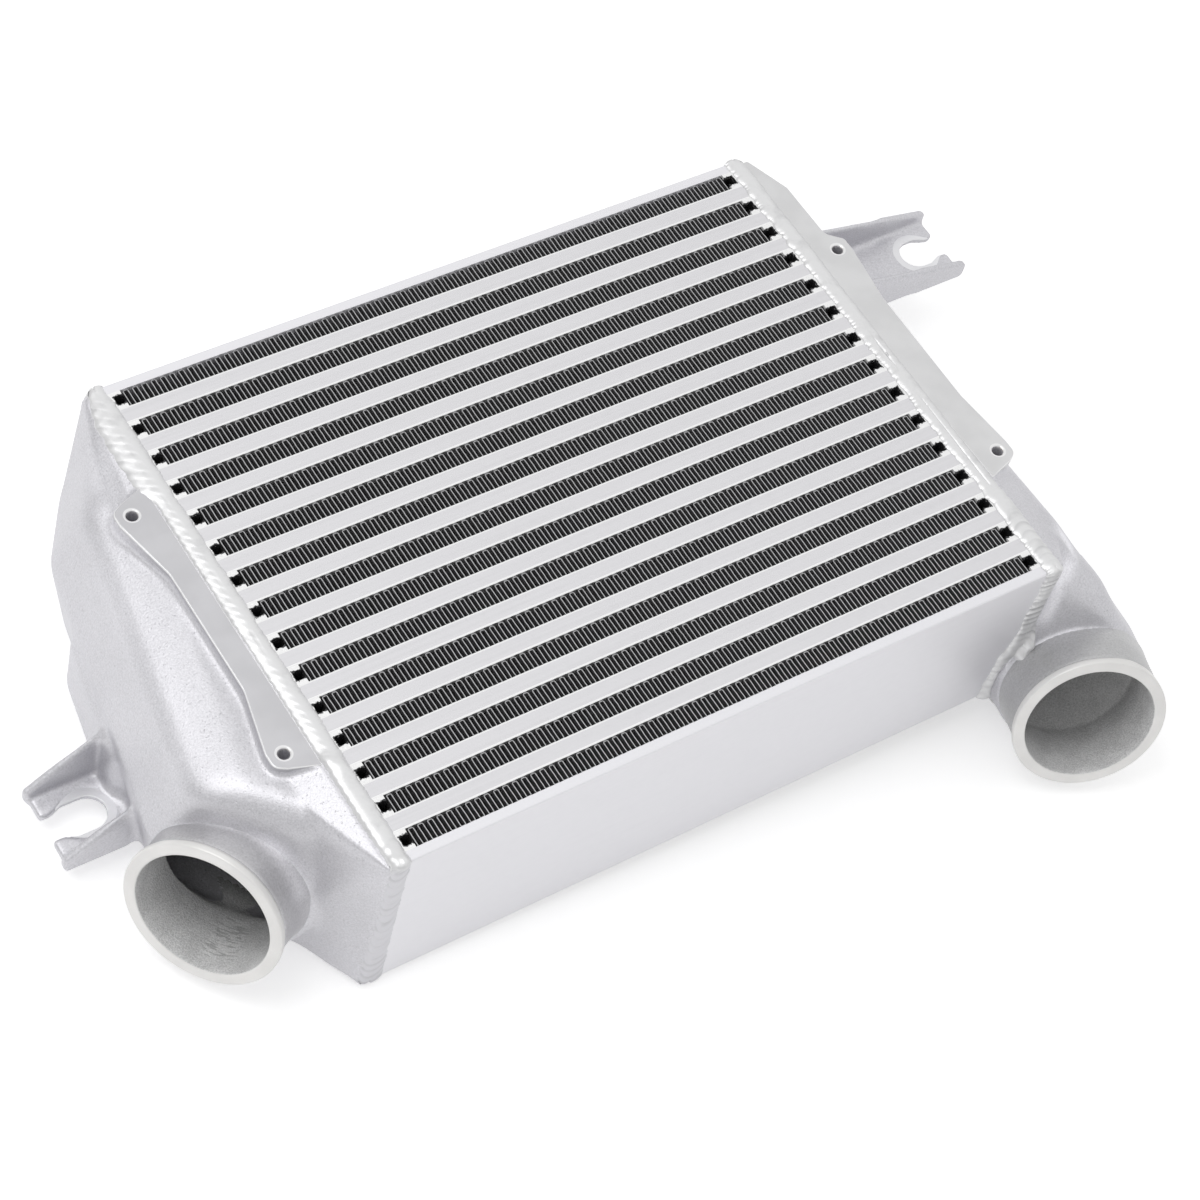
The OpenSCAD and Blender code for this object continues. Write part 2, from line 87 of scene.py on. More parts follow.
class Wire:
    """A value or colour on its way through a shader graph, with the usual operators."""

    def __init__(self, graph: "Graph", socket: Any) -> None:
        """Hold one output socket of the graph."""
        self.graph = graph
        self.socket = socket

    def maths(self, operation: str, other: Any = 0.0, swap: bool = False) -> "Wire":
        """Add one Math node.

        Args:
            operation: the node's operation.
            other: the second operand, a number or a wire.
            swap: puts the second operand first.

        Returns:
            The node's result.
        """
        pair = (other, self) if swap else (self, other)
        return self.graph.node("Math", {"operation": operation}, {0: pair[0], 1: pair[1]})

    def __add__(self, other: Any) -> "Wire":
        """Sum of two wires or of a wire and a number."""
        return self.maths("ADD", other)

    def __radd__(self, other: Any) -> "Wire":
        """Sum with a number on the left."""
        return self.maths("ADD", other, True)

    def __sub__(self, other: Any) -> "Wire":
        """Difference."""
        return self.maths("SUBTRACT", other)

    def __rsub__(self, other: Any) -> "Wire":
        """Difference with a number on the left."""
        return self.maths("SUBTRACT", other, True)

    def __mul__(self, other: Any) -> "Wire":
        """Product."""
        return self.maths("MULTIPLY", other)

    def __rmul__(self, other: Any) -> "Wire":
        """Product with a number on the left."""
        return self.maths("MULTIPLY", other, True)

    def __truediv__(self, other: Any) -> "Wire":
        """Quotient."""
        return self.maths("DIVIDE", other)

    def ramp(self, low: float, high: float, to_low: float = 0.0, to_high: float = 1.0) -> "Wire":
        """Map a range smoothly on another one and hold the ends.

        Args:
            low: the value that gives to_low.
            high: the value that gives to_high.
            to_low: result at and beyond low.
            to_high: result at and beyond high.

        Returns:
            The mapped value.
        """
        return self.graph.node("MapRange", {"interpolation_type": "SMOOTHSTEP"},
                               {0: self, 1: low, 2: high, 3: to_low, 4: to_high})


class Graph:
    """A node tree under construction."""

    def __init__(self, tree: bpy.types.NodeTree) -> None:
        """Keep the tree that nodes are added to."""
        self.tree = tree

    def node(self, kind: str, settings: dict[str, Any] | None = None,
             inputs: dict[int | str, Any] | None = None, out: int | str = 0) -> Wire:
        """Add a node of any type, its settings first and its sockets after them.

        Args:
            kind: node type without the ShaderNode prefix.
            settings: attributes of the node.
            inputs: values or wires for its input sockets.
            out: output socket to hand on.

        Returns:
            The chosen output.
        """
        node = self.tree.nodes.new("ShaderNode" + kind)
        for key, value in (settings or {}).items():
            setattr(node, key, value)
        for key, value in (inputs or {}).items():
            if isinstance(value, Wire):
                self.tree.links.new(value.socket, node.inputs[key])
            else:
                node.inputs[key].default_value = value
        return Wire(self, node.outputs[out])

    def place(self) -> Wire:
        """Position on the piece, which is the row frame in metres."""
        return self.node("TexCoord", out="Object")

    def part(self, vector: Wire, axis: int) -> Wire:
        """One component of a vector."""
        return self.node("SeparateXYZ", None, {0: vector}, axis)

    def gap(self, place: Wire, point: Triple) -> Wire:
        """Distance of a place from a fixed point."""
        return self.node("VectorMath", {"operation": "DISTANCE"}, {0: place, 1: point}, "Value")

    def stretched(self, vector: Wire, factors: Sequence[float]) -> Wire:
        """A vector scaled by its own factor along each axis."""
        return self.node("VectorMath", {"operation": "MULTIPLY"}, {0: vector, 1: tuple(factors)})

    def beyond(self, place: Wire, origin: Triple, way: Triple) -> Wire:
        """How far a place lies from a point along a direction.

        Args:
            place: the place, in metres.
            origin: the point, in millimetres.
            way: the direction, of length one.

        Returns:
            The distance in metres, below nought behind the point.
        """
        level = self.node("VectorMath", {"operation": "DOT_PRODUCT"}, {0: place, 1: way}, "Value")
        return level - MM * sum(a * b for a, b in zip(origin, way))

    def row_turn(self, place: Wire) -> Wire:
        """Share of a row's pitch from the middle of a charge tube, one half at a fin's middle."""
        return (self.part(place, 1) / (PITCH * MM) + 0.5 + ROWS).maths("FRACT")

    def from_fin(self, place: Wire) -> Wire:
        """Distance from the middle of the nearest fin row, as a share of the pitch."""
        return (self.row_turn(place) - 0.5).maths("ABSOLUTE")

    def from_middle(self, place: Wire) -> Wire:
        """Distance from the plane halfway through the core's thickness."""
        return (self.part(place, 2) + HALF_T).maths("ABSOLUTE")

    def tinted(self, light: Wire, colour: Triple) -> Wire:
        """A colour made lighter or darker by a factor."""
        return self.node("CombineColor", None, {k: light * colour[k] for k in range(3)})

    def noise(self, vector: Wire, scale: float, detail: float = 2.0, rough: float = 0.5) -> Wire:
        """Noise around one half."""
        return self.node("TexNoise", None, {"Vector": vector, "Scale": scale, "Detail": detail,
                                            "Roughness": rough})

    def blend(self, share: Any, first: Any, second: Any) -> Wire:
        """Mix two colours.

        Args:
            share: part of the second colour.
            first: colour at zero.
            second: colour at one.

        Returns:
            The mixed colour.
        """
        pair = [value if isinstance(value, Wire) else (*value, 1.0) for value in (first, second)]
        return self.node("Mix", {"data_type": "RGBA"}, {0: share, 6: pair[0], 7: pair[1]}, 2)

    def ray(self, kind: str) -> Wire:
        """One for rays of a kind, nought for all others."""
        return self.node("LightPath", out="Is " + kind + " Ray")

    def marked(self, key: str) -> Wire:
        """A number noted on the mesh's points, nought where there is none."""
        return self.node("Attribute", {"attribute_name": key}, None, "Fac")

    def bump(self, height: Wire, depth: float, strength: float) -> Wire:
        """Turn a height into a bumped normal.

        Args:
            height: height between nought and one.
            depth: what a height of one stands for, in metres.
            strength: share of the effect.

        Returns:
            The normal.
        """
        inputs = {"Strength": strength, "Distance": depth, "Height": height}
        return self.node("Bump", None, inputs, "Normal")


def new_surface(name: str) -> tuple[bpy.types.Material, Graph, Any]:
    """Start a material with its principled shader.

    Args:
        name: the material's name.

    Returns:
        The material, its graph and the shader node.
    """
    material = bpy.data.materials.new(name)
    material.use_nodes = True
    return material, Graph(material.node_tree), material.node_tree.nodes["Principled BSDF"]


def connect(graph: Graph, shader: Any, values: dict[str, Any]) -> None:
    """Set or link sockets of a shader.

    Args:
        graph: the graph the shader is in.
        shader: its node.
        values: numbers, colours or wires by socket name.
    """
    for key, value in values.items():
        if isinstance(value, Wire):
            graph.tree.links.new(value.socket, shader.inputs[key])
        elif isinstance(value, tuple):
            shader.inputs[key].default_value = (*value, 1.0)
        else:
            shader.inputs[key].default_value = value


# Finishes

CAST_COLOUR: Triple = (0.67, 0.665, 0.695)


@dataclass(frozen=True)
class Finish:
    """What all finishes share: a name, a base colour and how metallic and rough it is."""

    name: str
    colour: Triple
    metallic: float = 0.6
    roughness: float = 0.5

    def build(self) -> bpy.types.Material:
        """Build the material once and hand the same one out again.

        Returns:
            The material.
        """
        known = bpy.data.materials.get(self.name)
        if known:
            return known
        material, graph, shader = new_surface(self.name)
        connect(graph, shader, {"Metallic": self.metallic, "Roughness": self.roughness,
                                "Base Color": self.colour})
        self.dress(graph, shader)
        return material

    def dress(self, graph: Graph, shader: Any) -> None:
        """Leave the surface plain."""


@dataclass(frozen=True)
class CastSkin(Finish):
    """Satin casting: fine grain, faint clouds, a few pits darkened with painted shade, and painted
    highlights along given lines.
    """

    grain: float = 1300.0
    depth: float = 0.00015
    clouds: float = 0.08

    def dress(self, graph: Graph, shader: Any) -> None:
        """Add the grain, the clouds, the pits with their painted shade and the painted highlights.

        Args:
            graph: the material's graph.
            shader: its shader node.
        """
        place = graph.place()
        fine = graph.noise(place, self.grain, 3.0, 0.6)
        broad = graph.noise(place, 22.0, 3.0)
        pits = graph.noise(place, 900.0, 1.0).ramp(0.66, 0.74)
        # The pits are darkened as painted shade.
        light = 1.0 - self.clouds + broad * (2.0 * self.clouds) - pits * 0.10 + (fine - 0.5) * 0.6
        # Painted highlight: points marked along given lines are made lighter.
        light = light * (1.0 + graph.marked("brushed") * 0.38) * self.tone(graph, place)
        connect(graph, shader, {
            "Base Color": graph.tinted(light, self.colour),
            "Roughness": self.roughness + (fine - 0.5) * 0.25,
            "Normal": graph.bump(fine - pits * 0.6, self.depth, 0.8)})

    def tone(self, graph: Graph, place: Wire) -> Any:
        """Even tone."""
        return 1.0


@dataclass(frozen=True)
class NeckSkin(CastSkin):
    """Turned neck, which fades into the casting's own tone at its root."""

    mouth: Triple = (0.0, 0.0, 0.0)
    axis: Triple = (0.0, 0.0, 1.0)
    root: float = 1.15

    def tone(self, graph: Graph, place: Wire) -> Any:
        """Tone by the place along the neck.

        Args:
            graph: the material's graph.
            place: position on the piece.

        Returns:
            The factor for the colour.
        """
        along = graph.beyond(place, self.mouth, self.axis)
        return along.ramp(-0.023, -0.014, self.root, 1.0)


@dataclass(frozen=True)
class RoughBore(CastSkin):
    """Rough inside of a port: speckled, with chatter marks of the tool, and painted shade that
    makes it darker with depth from the mouth.
    """

    mouth: Triple = (0.0, 0.0, 0.0)
    axis: Triple = (0.0, 0.0, 1.0)
    level: Triple = (1.0, 0.0, 0.0)
    # Painted shade: the tone factors deep in and halfway in, and the depths between which the bore
    # darkens.
    deep: float = 0.25
    middle: float = 0.75
    shade_from: float = -0.050
    shade_to: float = -0.034
    scar: float = -0.007
    chatter: float = 1.0

    def dress(self, graph: Graph, shader: Any) -> None:
        """Add the speckle, the marks and the painted shade in the depth.

        Args:
            graph: the material's graph.
            shader: its shader node.
        """
        place = graph.place()
        along = graph.beyond(place, self.mouth, self.axis)
        across = graph.beyond(place, self.mouth, self.level)
        speckle = graph.noise(place, 1500.0, 2.0, 0.75)
        broad = graph.noise(place, 110.0, 2.0)
        lines = graph.node("CombineXYZ", None, {0: along * 900.0, 1: across * 160.0, 2: 0.0})
        bars = graph.noise(lines, 1.0, 1.0).ramp(0.48, 0.62)
        strip = (across - self.scar).maths("ABSOLUTE").ramp(0.004, 0.009, 1.0, 0.0)
        strip = strip * along.ramp(-0.032, -0.028) * along.ramp(-0.010, -0.005, 1.0, 0.0)
        strip = strip * self.chatter
        shade = (speckle - 0.5) * 1.5 + (broad - 0.5) * 0.5 - bars * strip * 0.45 + strip * 0.15
        # Painted shade: the bore gets darker with depth from the mouth.
        tone = (along.ramp(-0.034, -0.004, self.middle, 1.0)
                * along.ramp(self.shade_from, self.shade_to, self.deep, 1.0))
        light = shade.ramp(-0.5, 0.5, 0.55, 1.0) * tone
        connect(graph, shader, {
            "Base Color": graph.tinted(light, self.colour),
            "Roughness": self.roughness + (speckle - 0.5) * 0.4,
            "Normal": graph.bump(speckle, self.depth * 3.0, 0.9)})


@dataclass(frozen=True)
class Milled(Finish):
    """Machined face with faint tool arcs and, where a ring is given, a painted highlight round each
    hole.
    """

    centre: Triple = (0.0, 0.0, 0.0)
    pitch: float = 0.0012
    depth: float = 0.000012
    ring: float = 0.0

    def dress(self, graph: Graph, shader: Any) -> None:
        """Add the tool arcs, a fine grain and the painted highlight ring.

        Args:
            graph: the material's graph.
            shader: its shader node.
        """
        place = graph.place()
        arcs = (graph.gap(place, self.centre) * (2 * math.pi / self.pitch)).maths("SINE")
        fine = graph.noise(place, 1200.0, 2.0)
        broad = graph.noise(place, 60.0, 2.0)
        plain = graph.blend(broad.ramp(0.35, 0.65) * 0.5 + fine * 0.2, self.colour,
                            tuple(c * 0.88 for c in self.colour))
        # Painted highlight: a light ring on the flat face round each hole, standing in for a lit
        # chamfer.
        if self.ring:
            folded = graph.node("VectorMath", {"operation": "ABSOLUTE"}, {0: place})
            away = graph.gap(folded, (HOLE_X * MM, HOLE_Y * MM, 0.0))
            rim = away.ramp(self.ring, self.ring + 0.0003, 0.6, 0.0)
            plain = graph.blend(rim, plain, (0.95, 0.95, 0.95))
        connect(graph, shader, {
            "Base Color": plain,
            "Normal": graph.bump(arcs * 0.5 + fine, self.depth, 0.6)})


@dataclass(frozen=True)
class BarSkin(Finish):
    """Rolled bar or plate with faint marks along its length and, where an edge is given, a painted
    highlight along each bar's front edge.
    """

    along: Triple = (12.0, 700.0, 700.0)
    depth: float = 0.00002
    marks: float = 0.10
    edge: float = 0.0

    def dress(self, graph: Graph, shader: Any) -> None:
        """Add the rolling marks, small spots and the painted highlight on the edge.

        Args:
            graph: the material's graph.
            shader: its shader node.
        """
        place = graph.place()
        lines = graph.noise(graph.stretched(place, self.along), 1.0, 2.0)
        spots = graph.noise(place, 260.0, 3.0, 0.6)
        dark = (lines - 0.5) * self.marks * 2 + (spots - 0.5) * self.marks + self.marks * 0.6
        plain = graph.blend(dark.ramp(0.0, 0.5), self.colour, tuple(c * 0.6 for c in self.colour))
        # Painted highlight: a white line along the front edge of each bar.
        if self.edge:
            turn = graph.row_turn(place)
            line = turn.ramp(self.edge, self.edge + 0.01, 0.9, 0.0) * turn.ramp(0.70, 0.71)
            plain = graph.blend(line, plain, (1.0, 1.0, 1.0))
        connect(graph, shader, {
            "Base Color": plain,
            "Roughness": self.roughness + (spots - 0.5) * 0.2,
            "Normal": graph.bump(lines + spots * 0.5, self.depth, 0.6)})


@dataclass(frozen=True)
class SheetEdge(Finish):
    """Parting sheet: the front one of a tube gets a painted highlight on its edge, the back one
    painted shade.
    """

    dark_tone: Triple = (0.30, 0.30, 0.31)

    def dress(self, graph: Graph, shader: Any) -> None:
        """Give a front edge the painted highlight and a back edge the painted shade, by where it
        lies in its tube's pitch.

        Args:
            graph: the material's graph.
            shader: its shader node.
        """
        place = graph.place()
        ragged = graph.noise(place, 420.0, 2.0)
        # Front edges take the painted highlight, back edges the painted shade.
        front = graph.row_turn(place).ramp(0.49, 0.51)
        connect(graph, shader, {
            "Base Color": graph.blend(front * (0.75 + ragged * 0.4), self.dark_tone, self.colour),
            "Normal": graph.bump(ragged, 0.00003, 0.5)})


@dataclass(frozen=True)
class FinSheet(Finish):
    """Fin metal: light where it is cut at the core's faces; painted shade makes it charcoal in the
    depth and darker at the folds.
    """

    deep: Triple = (0.07, 0.07, 0.074)
    fade: float = 0.0022
    cut: float = 0.0009
    fold: float = 0.3

    def dress(self, graph: Graph, shader: Any) -> None:
        """Darken the sheet with painted shade, by the depth from either face of the core and at the
        folds.

        Args:
            graph: the material's graph.
            shader: its shader node.
        """
        place = graph.place()
        # Painted shade: darker with depth from either face of the core.
        near = graph.from_middle(place).ramp(HALF_T - self.fade, HALF_T - self.cut)
        patchy = graph.noise(place, 700.0, 2.0)
        # Painted shade: darker at the folds against the parting sheets.
        fold = (graph.from_fin(place) * PITCH).ramp(3.45, 3.85, 1.0, self.fold)
        light = (near * near) * fold * (0.55 + patchy * 0.9)
        connect(graph, shader, {"Base Color": graph.blend(light, self.deep, self.colour)})


@dataclass(frozen=True)
class EndBarSkin(Finish):
    """End bar: near black with painted shade in its groove, beside the fin and below the core's
    face; light and ragged at the groove's lips.
    """

    deep: Triple = (0.03, 0.03, 0.032)
    fin_end: float = 0.1505
    groove_half: float = 0.0023
    low: float = 0.002
    cut: float = 0.0009

    def dress(self, graph: Graph, shader: Any) -> None:
        """Tell the lips apart from the groove and the depth, which take painted shade.

        Args:
            graph: the material's graph.
            shader: its shader node.
        """
        place = graph.place()
        ragged = graph.noise(place, 800.0, 2.0) - 0.5
        away = graph.from_fin(place) * (PITCH * MM) + ragged * 0.0022
        out = graph.part(place, 0).maths("ABSOLUTE") + ragged * 0.0016
        outer = graph.from_middle(place).ramp(HALF_T - self.low, HALF_T - self.cut)
        lip = away.ramp(self.groove_half, self.groove_half + 0.0004) * outer
        beyond = out.ramp(self.fin_end, self.fin_end + 0.0005) * outer
        # Painted shade on all but the lips and the bar beyond the fin, near the core's face.
        connect(graph, shader, {
            "Base Color": graph.blend(lip.maths("MAXIMUM", beyond), self.deep, self.colour),
            "Normal": graph.bump(ragged, 0.0004, 0.8)})


@dataclass(frozen=True)
class WeldSkin(Finish):
    """Bright bead with a fine skin and painted shade in the grooves between its ripples."""

    dark_tone: Triple = (0.5, 0.5, 0.51)

    def dress(self, graph: Graph, shader: Any) -> None:
        """Add the skin's grain, slightly duller patches and painted shade in the grooves.

        Args:
            graph: the material's graph.
            shader: its shader node.
        """
        place = graph.place()
        fine = graph.noise(place, 1700.0, 3.0, 0.6)
        broad = graph.noise(place, 150.0, 3.0)
        groove = graph.marked("groove")
        # Painted shade in the grooves between ripples, mixed with duller patches of the skin.
        shade_and_dullness = groove.ramp(0.25, 1.0) * 0.7 + broad.ramp(0.5, 0.8) * 0.3
        bare = graph.blend(shade_and_dullness, self.colour, self.dark_tone)
        # Matt stretches take the casting's colour, with painted shade in their grooves.
        matt = graph.blend(groove.ramp(0.4, 1.0) * 0.35, CAST_COLOUR, self.dark_tone)
        connect(graph, shader, {
            "Base Color": graph.blend(graph.marked("matt"), bare, matt),
            "Roughness": self.roughness + (fine - 0.5) * 0.2,
            "Normal": graph.bump(fine, 0.00004, 0.6)})


@dataclass(frozen=True)
class ThreadSkin(Finish):
    """Tapped wall: pale at the top, brown below."""

    deep: Triple = (0.12, 0.06, 0.035)

    def dress(self, graph: Graph, shader: Any) -> None:
        """Darken the wall with its depth.

        Args:
            graph: the material's graph.
            shader: its shader node.
        """
        place = graph.place()
        patchy = graph.noise(place, 500.0, 1.0)
        low = (graph.part(place, 2) + (patchy - 0.5) * 0.003).ramp(-0.0050, -0.0022, 1.0, 0.0)
        connect(graph, shader, {"Base Color": graph.blend(low, self.colour, self.deep)})


CAST = CastSkin("cast_skin", CAST_COLOUR, 0.7, 0.44)
# The bores take painted shade in their depth; the right one less and deeper in.
LEFT_BORE = RoughBore("left_bore", (1.0, 1.0, 1.0), 0.0, 0.45, mouth=LEFT_MOUTH, axis=LEFT_AXIS,
                      level=(-0.5225, 0.8526, 0.0))
RIGHT_BORE = RoughBore("right_bore", (0.97, 0.97, 0.97), 0.0, 0.50, mouth=RIGHT_MOUTH,
                       axis=RIGHT_AXIS, level=(-0.9034, 0.4289, 0.0),
                       deep=0.55, middle=0.62, shade_from=-0.085, shade_to=-0.040, chatter=0.0)
LEFT_NECK = NeckSkin("left_neck", (0.56, 0.555, 0.57), 0.7, 0.40, grain=1100.0, depth=0.00006,
                     clouds=0.03, mouth=LEFT_MOUTH, axis=LEFT_AXIS)
RIGHT_NECK = NeckSkin("right_neck", (0.54, 0.54, 0.545), 0.7, 0.42, grain=1100.0, depth=0.00008,
                      clouds=0.05, mouth=RIGHT_MOUTH, axis=RIGHT_AXIS, root=1.12)
LIP = Milled("turned_lip", (0.90, 0.89, 0.875), 0.3, 0.42, centre=tuple(MM * v for v in LEFT_MOUTH))
# The two pads are the same milled metal; their different tones are painted light, set to how each
# end is lit.
LEFT_PAD = Milled("left_pad", (0.62, 0.617, 0.637), 0.7, 0.42, centre=(0.0, -0.3, 0.0), ring=0.0034)
RIGHT_PAD = Milled("right_pad", (0.72, 0.72, 0.725), 0.7, 0.42, centre=(0.0, -0.3, 0.0),
                   ring=0.0034)
# Painted highlight: a lighter copy of the machined metal for the caps' rounded edges and chamfers.
RIM_HIGHLIGHT = Finish("rim_highlight", (0.90, 0.90, 0.90), 0.5, 0.30)
THREAD = ThreadSkin("thread", (0.90, 0.84, 0.76), 0.4, 0.35)
SEAT = Milled("fork_seat", (0.86, 0.86, 0.88), 0.6, 0.38, centre=(-0.2325, -0.012, -0.077))
# The bars' edge value places their painted highlight.
BAR = BarSkin("closing_bar", (0.76, 0.755, 0.775), 0.55, 0.45, edge=0.5 + 4.95 / PITCH)
PLATE = BarSkin("side_plate", (0.86, 0.855, 0.885), 0.5, 0.45, marks=0.05)
END_BAR = EndBarSkin("end_bar", (0.95, 0.95, 0.95), 0.3, 0.40)
SHEET = SheetEdge("parting_sheet", (1.0, 1.0, 1.0), 0.0, 0.30)
FIN = FinSheet("fin_sheet", (1.0, 1.0, 1.0), 0.1, 0.35)
HIDDEN_FIN = FinSheet("turbulator_sheet", (0.5, 0.5, 0.5), 0.5, 0.45)
WELD = WeldSkin("weld_bead", (0.78, 0.78, 0.785), 0.6, 0.40, dark_tone=(0.42, 0.42, 0.43))


# Meshes


@dataclass
class Surface:
    """A mesh of quads or triangles as two arrays, in millimetres."""

    points: np.ndarray
    faces: list[np.ndarray] = field(default_factory=list)
    marks: dict[str, np.ndarray] = field(default_factory=dict)

    def joined(self, other: "Surface") -> "Surface":
        """Put two meshes into one.

        Args:
            other: the mesh to add.

        Returns:
            A new mesh with the points of both.
        """
        shift = len(self.points)
        return Surface(np.vstack([self.points, other.points]),
                       self.faces + [f + shift for f in other.faces])

    def object(self, name: str, finish: Finish, smooth_angle: float = 35.0) -> bpy.types.Object:
        """Make an object in the row frame.

        Args:
            name: the object's name.
            finish: its finish.
            smooth_angle: edges sharper than this stay sharp, in degrees.

        Returns:
            The object.
        """
        mesh = bpy.data.meshes.new(name)
        faces = [face for group in self.faces for face in group.tolist()]
        mesh.from_pydata((self.points * MM).tolist(), [], faces)
        for key, value in self.marks.items():
            mark(mesh, key, value)
        mesh.shade_smooth()
        mesh.set_sharp_from_angle(angle=math.radians(smooth_angle))
        mesh.materials.append(finish.build())
        piece = bpy.data.objects.new(name, mesh)
        bpy.context.scene.collection.objects.link(piece)
        return piece


def mark(mesh: bpy.types.Mesh, key: str, value: np.ndarray) -> None:
    """Note one number for each point of a mesh, for its material to read."""
    mesh.attributes.new(key, "FLOAT", "POINT").data.foreach_set("value", value.astype(np.float32))


def coordinates(mesh: bpy.types.Mesh) -> np.ndarray:
    """Read the points of a mesh.

    Args:
        mesh: Mesh, in metres.

    Returns:
        Its points, in millimetres.
    """
    points = np.empty(len(mesh.vertices) * 3)
    mesh.vertices.foreach_get("co", points)
    return points.reshape(-1, 3) / MM


def centres(mesh: bpy.types.Mesh) -> np.ndarray:
    """Middles of a mesh's faces, in millimetres."""
    return np.array([face.center for face in mesh.polygons]) / MM


def grid_faces(rows: int, columns: int, wrap_rows: bool = False,
               wrap_columns: bool = False) -> np.ndarray:
    """Quads of a grid of points that are numbered row by row.

    Args:
        rows: number of rows.
        columns: points in a row.
        wrap_rows: joins the last row to the first.
        wrap_columns: joins the last column to the first.

    Returns:
        The quads as an array of indices.
    """
    r = np.arange(rows if wrap_rows else rows - 1)[:, None]
    c = np.arange(columns if wrap_columns else columns - 1)[None, :]
    r1, c1 = (r + 1) % rows, (c + 1) % columns
    quads = np.stack(np.broadcast_arrays(r * columns + c, r * columns + c1, r1 * columns + c1,
                                         r1 * columns + c), -1)
    return quads.reshape(-1, 4)


def wander(count: int, knots: int, rng: np.random.Generator) -> np.ndarray:
    """A smooth closed random curve.

    Args:
        count: number of samples.
        knots: number of random values it passes through.
        rng: source of the random values.

    Returns:
        Samples between about -1 and 1.
    """
    values = rng.uniform(-1, 1, knots)
    t = np.linspace(0, knots, count, endpoint=False)
    i = t.astype(int)
    f = t - i
    f = f * f * (3 - 2 * f)
    return values[i % knots] * (1 - f) + values[(i + 1) % knots] * f


def step_up(value: np.ndarray, low: float, high: float) -> np.ndarray:
    """Smooth step from nought at low to one at high."""
    t = np.clip((value - low) / (high - low), 0, 1)
    return t * t * (3 - 2 * t)


@dataclass(frozen=True)
class Port:
    """Where a hose port is: the centre of its lip's face and its outward axis."""

    side: Side
    lip: Triple
    axis: Triple

    @property
    def frame(self) -> tuple[np.ndarray, np.ndarray, np.ndarray, np.ndarray]:
        """The port's own directions.

        Returns:
            Origin, the level cross direction, the upward cross direction and the axis.
        """
        axis = np.array(self.axis) / np.linalg.norm(self.axis)
        level = np.cross(axis, (0, 0, 1))
        level /= np.linalg.norm(level)
        return np.array(self.lip), level, np.cross(level, axis), axis

    def around(self, places: Sequence[tuple[float, float, float]]) -> tuple[Triple, ...]:
        """Points round the axis.

        Args:
            places: angle from the level direction in degrees, place along the axis and radius.

        Returns:
            The points in the row frame.
        """
        origin, level, up, axis = self.frame
        points = []
        for degrees, along, r in places:
            angle = math.radians(degrees)
            ray = level * math.cos(angle) + up * math.sin(angle)
            points.append(tuple(origin + axis * along + ray * r))
        return tuple(points)

    def local(self, points: np.ndarray) -> tuple[np.ndarray, np.ndarray, np.ndarray]:
        """Cylinder coordinates of points.

        Args:
            points: points in the row frame.

        Returns:
            Distance from the axis, place along the axis and the outward radial directions.
        """
        origin, _, _, axis = self.frame
        v = points - origin
        s = v @ axis
        radial = v - s[:, None] * axis
        r = np.linalg.norm(radial, axis=1)
        return r, s, radial / np.maximum(r, 1e-9)[:, None]


LEFT_PORT = Port(Side.LEFT, LEFT_MOUTH, LEFT_AXIS)
RIGHT_PORT = Port(Side.RIGHT, RIGHT_MOUTH, RIGHT_AXIS)


